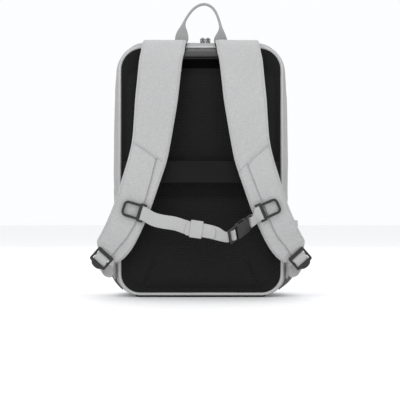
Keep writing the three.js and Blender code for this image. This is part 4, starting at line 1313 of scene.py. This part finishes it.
# %% A tree that lays small shapes along a path
def row_tree(title, shape):
    tree = bpy.data.node_groups.new(title, "GeometryNodeTree")
    graph = Graph(tree)
    tree.interface.new_socket("Path", in_out="INPUT", socket_type="NodeSocketGeometry")
    for label in ("Pitch", "Length", "Width", "Height"):
        tree.interface.new_socket(label, in_out="INPUT", socket_type="NodeSocketFloat")
    tree.interface.new_socket("Finish", in_out="INPUT", socket_type="NodeSocketMaterial")
    tree.interface.new_socket("Rows", in_out="OUTPUT", socket_type="NodeSocketGeometry")
    given = graph.node("NodeGroupInput").socket.node
    value = {socket.name: Wire(graph, socket) for socket in given.outputs if socket.name}
    curve = graph.node("GeometryNodeMeshToCurve", None, {"Mesh": value["Path"]})
    steps = graph.node(
        "GeometryNodeResampleCurve", {"mode": "LENGTH"}, {"Curve": curve, "Length": value["Pitch"]}
    )
    tangent = graph.node("GeometryNodeInputTangent")
    lean = graph.node(
        "GeometryNodeInputNamedAttribute", {"data_type": "FLOAT_VECTOR"}, {"Name": "lean"}
    )
    turned = graph.node("FunctionNodeAlignRotationToVector", {"axis": "X"}, {"Vector": tangent})
    turned = graph.node(
        "FunctionNodeAlignRotationToVector",
        {"axis": "Z", "pivot_axis": "X"},
        {"Rotation": turned, "Vector": lean},
    )
    if shape == "lentil":
        one = graph.node("GeometryNodeMeshUVSphere", None, {"Segments": 6, "Rings": 4, "Radius": 0.5})
    else:
        one = graph.node("GeometryNodeMeshCube", None, {"Size": (1.0, 1.0, 1.0)})
    size = graph.node(
        "ShaderNodeCombineXYZ", None, {0: value["Length"], 1: value["Width"], 2: value["Height"]}
    )
    laid = graph.node(
        "GeometryNodeInstanceOnPoints",
        None,
        {"Points": steps, "Instance": one, "Rotation": turned, "Scale": size},
    )
    real = graph.node("GeometryNodeRealizeInstances", None, {"Geometry": laid})
    done = graph.node(
        "GeometryNodeSetMaterial", None, {"Geometry": real, "Material": value["Finish"]}
    )
    graph.node("NodeGroupOutput", None, {0: done})
    return tree


TREES = {shape: row_tree(f"{shape}_rows", shape) for shape in ("lentil", "block")}


def lay_rows(title, paths, pitch, sizes, material, shape="lentil"):
    """paths are lists of (place, lean): lean is the way that the surface faces there."""
    places = [place for path in paths for place, _ in path]
    leans = [lean for path in paths for _, lean in path]
    edges, start = [], 0
    for path in paths:
        edges += [(start + i, start + i + 1) for i in range(len(path) - 1)]
        start += len(path)
    mesh = bpy.data.meshes.new(title)
    mesh.from_pydata([tuple(p) for p in places], edges, [])
    layer = mesh.attributes.new("lean", "FLOAT_VECTOR", "POINT")
    for item, lean in zip(layer.data, leans):
        item.vector = lean
    piece = placed(title, mesh)
    laying = piece.modifiers.new("rows", "NODES")
    laying.node_group = TREES[shape]
    length, width, height = sizes
    wanted = {"Pitch": pitch, "Length": length, "Width": width, "Height": height}
    wanted["Finish"] = material
    for item in TREES[shape].interface.items_tree:
        if item.item_type == "SOCKET" and item.in_out == "INPUT" and item.name in wanted:
            laying[item.identifier] = wanted[item.name]
    applied(piece)
    piece.data.shade_smooth()
    print(title, len(piece.data.polygons), "faces")
    return piece


# %% [markdown]
# Rows of stitches follow the strap's edges in a grey thread. The seams that cross the strap and the
# one beside the facing's inner edge are sewn in a near black thread, which also paints the thin
# shadow that the facing's edge casts along them.

# %% Stitches on the straps
EDGE_PITCH, EDGE_STITCH = 0.0036, (0.0026, 0.0006, 0.0005)
DARK_PITCH, DARK_STITCH = 0.003, (0.0023, 0.0008, 0.0006)


def stitch_path(side, places, rise):
    """A stitch path on the strap's face through places of row and how far across."""
    path = []
    for row, across in places:
        place = strap_point(
            side, row, across, lambda f: rise(across, f) + strap_folds(side, row, across)
        )
        path.append((place, strap_frame(side, row)[2]))
    return path


def strap_line(side, start, end, rise, count=90):
    """A straight stitch path from (row, across) to (row, across)."""
    (row, across), (last, far) = start, end
    places = [(row + (last - row) * s, across + (far - across) * s) for s in ramp(count)]
    return stitch_path(side, places, rise)


def on_pad(across, fill):
    return strap_face(across, fill) + 0.0002


def on_facing(across, fill):
    return facing_lift(fill) + 0.0009


def facing_line(side, inset, count=110):
    """A stitch path down the facing's inner edge."""
    start, edge = facing_rows(side)[0][1] + 0.06, facing_edge(side)
    rows = [start + (15.7 - start) * share for share in ramp(count)]
    return stitch_path(side, [(row, edge(row) - inset) for row in rows], on_facing)


for name, side in SIDES:
    (outer, inner), _ = facing_rows(side)
    edge = facing_edge(side)(10)
    edges = [
        strap_line(side, (0.6, -SEAM_ACROSS), (9.0, -SEAM_ACROSS), on_pad),
        strap_line(side, (0.6, SEAM_ACROSS), (15.6, SEAM_ACROSS), on_pad, 140),
        strap_line(side, (9.3, -0.88), (15.7, -0.88), on_facing),
    ]
    seams = [
        facing_line(side, 0.05),
        strap_line(side, (outer + 0.07, -0.9), (inner + 0.05, edge - 0.04), on_facing, 30),
        strap_line(side, (inner - 0.02, edge), (SEAM[side][1] - 0.02, 0.98), on_pad, 16),
    ]
    pale = lay_rows(f"strap_stitches_{name}", edges, EDGE_PITCH, EDGE_STITCH, grey_thread)
    dark = lay_rows(f"seam_stitches_and_shade_{name}", seams, DARK_PITCH, DARK_STITCH, seam_shade_thread)
    for sewn in (pale, dark):
        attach(sewn, "pack")

# %% [markdown]
# Rows of stitches run round the body on both sides of the zip and of the front's seam.

# %% Stitches on the body
def shell_line(share, inset, shift=0.0):
    """A stitch path round the body at one depth, on the outside of the cloth."""
    ring = shell_ring(share, inset)
    path = []
    for point in ring + ring[:1]:
        lean = Vector((point.x, 0, point.z - BODY_HEIGHT / 2)).normalized()
        away = shift * zip_gap(point.z) * near_zip(share)
        path.append((point + Vector((0, away, 0)), lean))
    return path


edge_step = 0.0032 / SHELL_DEPTH
proud = -0.0002
body_rows = [
    shell_line(ZIP_SHARE - edge_step, proud, -1),
    shell_line(ZIP_SHARE + edge_step, proud, 1),
    shell_line(FRONT_START - edge_step, proud),
    shell_line(FRONT_START + edge_step, proud),
]
body_stitches = lay_rows(
    "body_stitches", body_rows, EDGE_PITCH, (0.0027, 0.0006, 0.0005), grey_thread
)
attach(body_stitches, "pack")

# %% [markdown]
# Two rows of small blocks lie on either side of the zip's middle line, above the tape.

# %% Zip teeth
TOOTH_PITCH, TOOTH = 0.0021, (0.0013, 0.0027, 0.0012)
frames = zip_frames(-0.0004, 500)
for name, shift in (("rear", -0.0011), ("front", 0.0011)):
    row = [(centre + Vector((0, shift, 0)), normal) for centre, _, normal in frames]
    coil = lay_rows(f"zip_teeth_{name}", [row], TOOTH_PITCH, TOOTH, zip_teeth, "block")
    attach(coil, "pack")
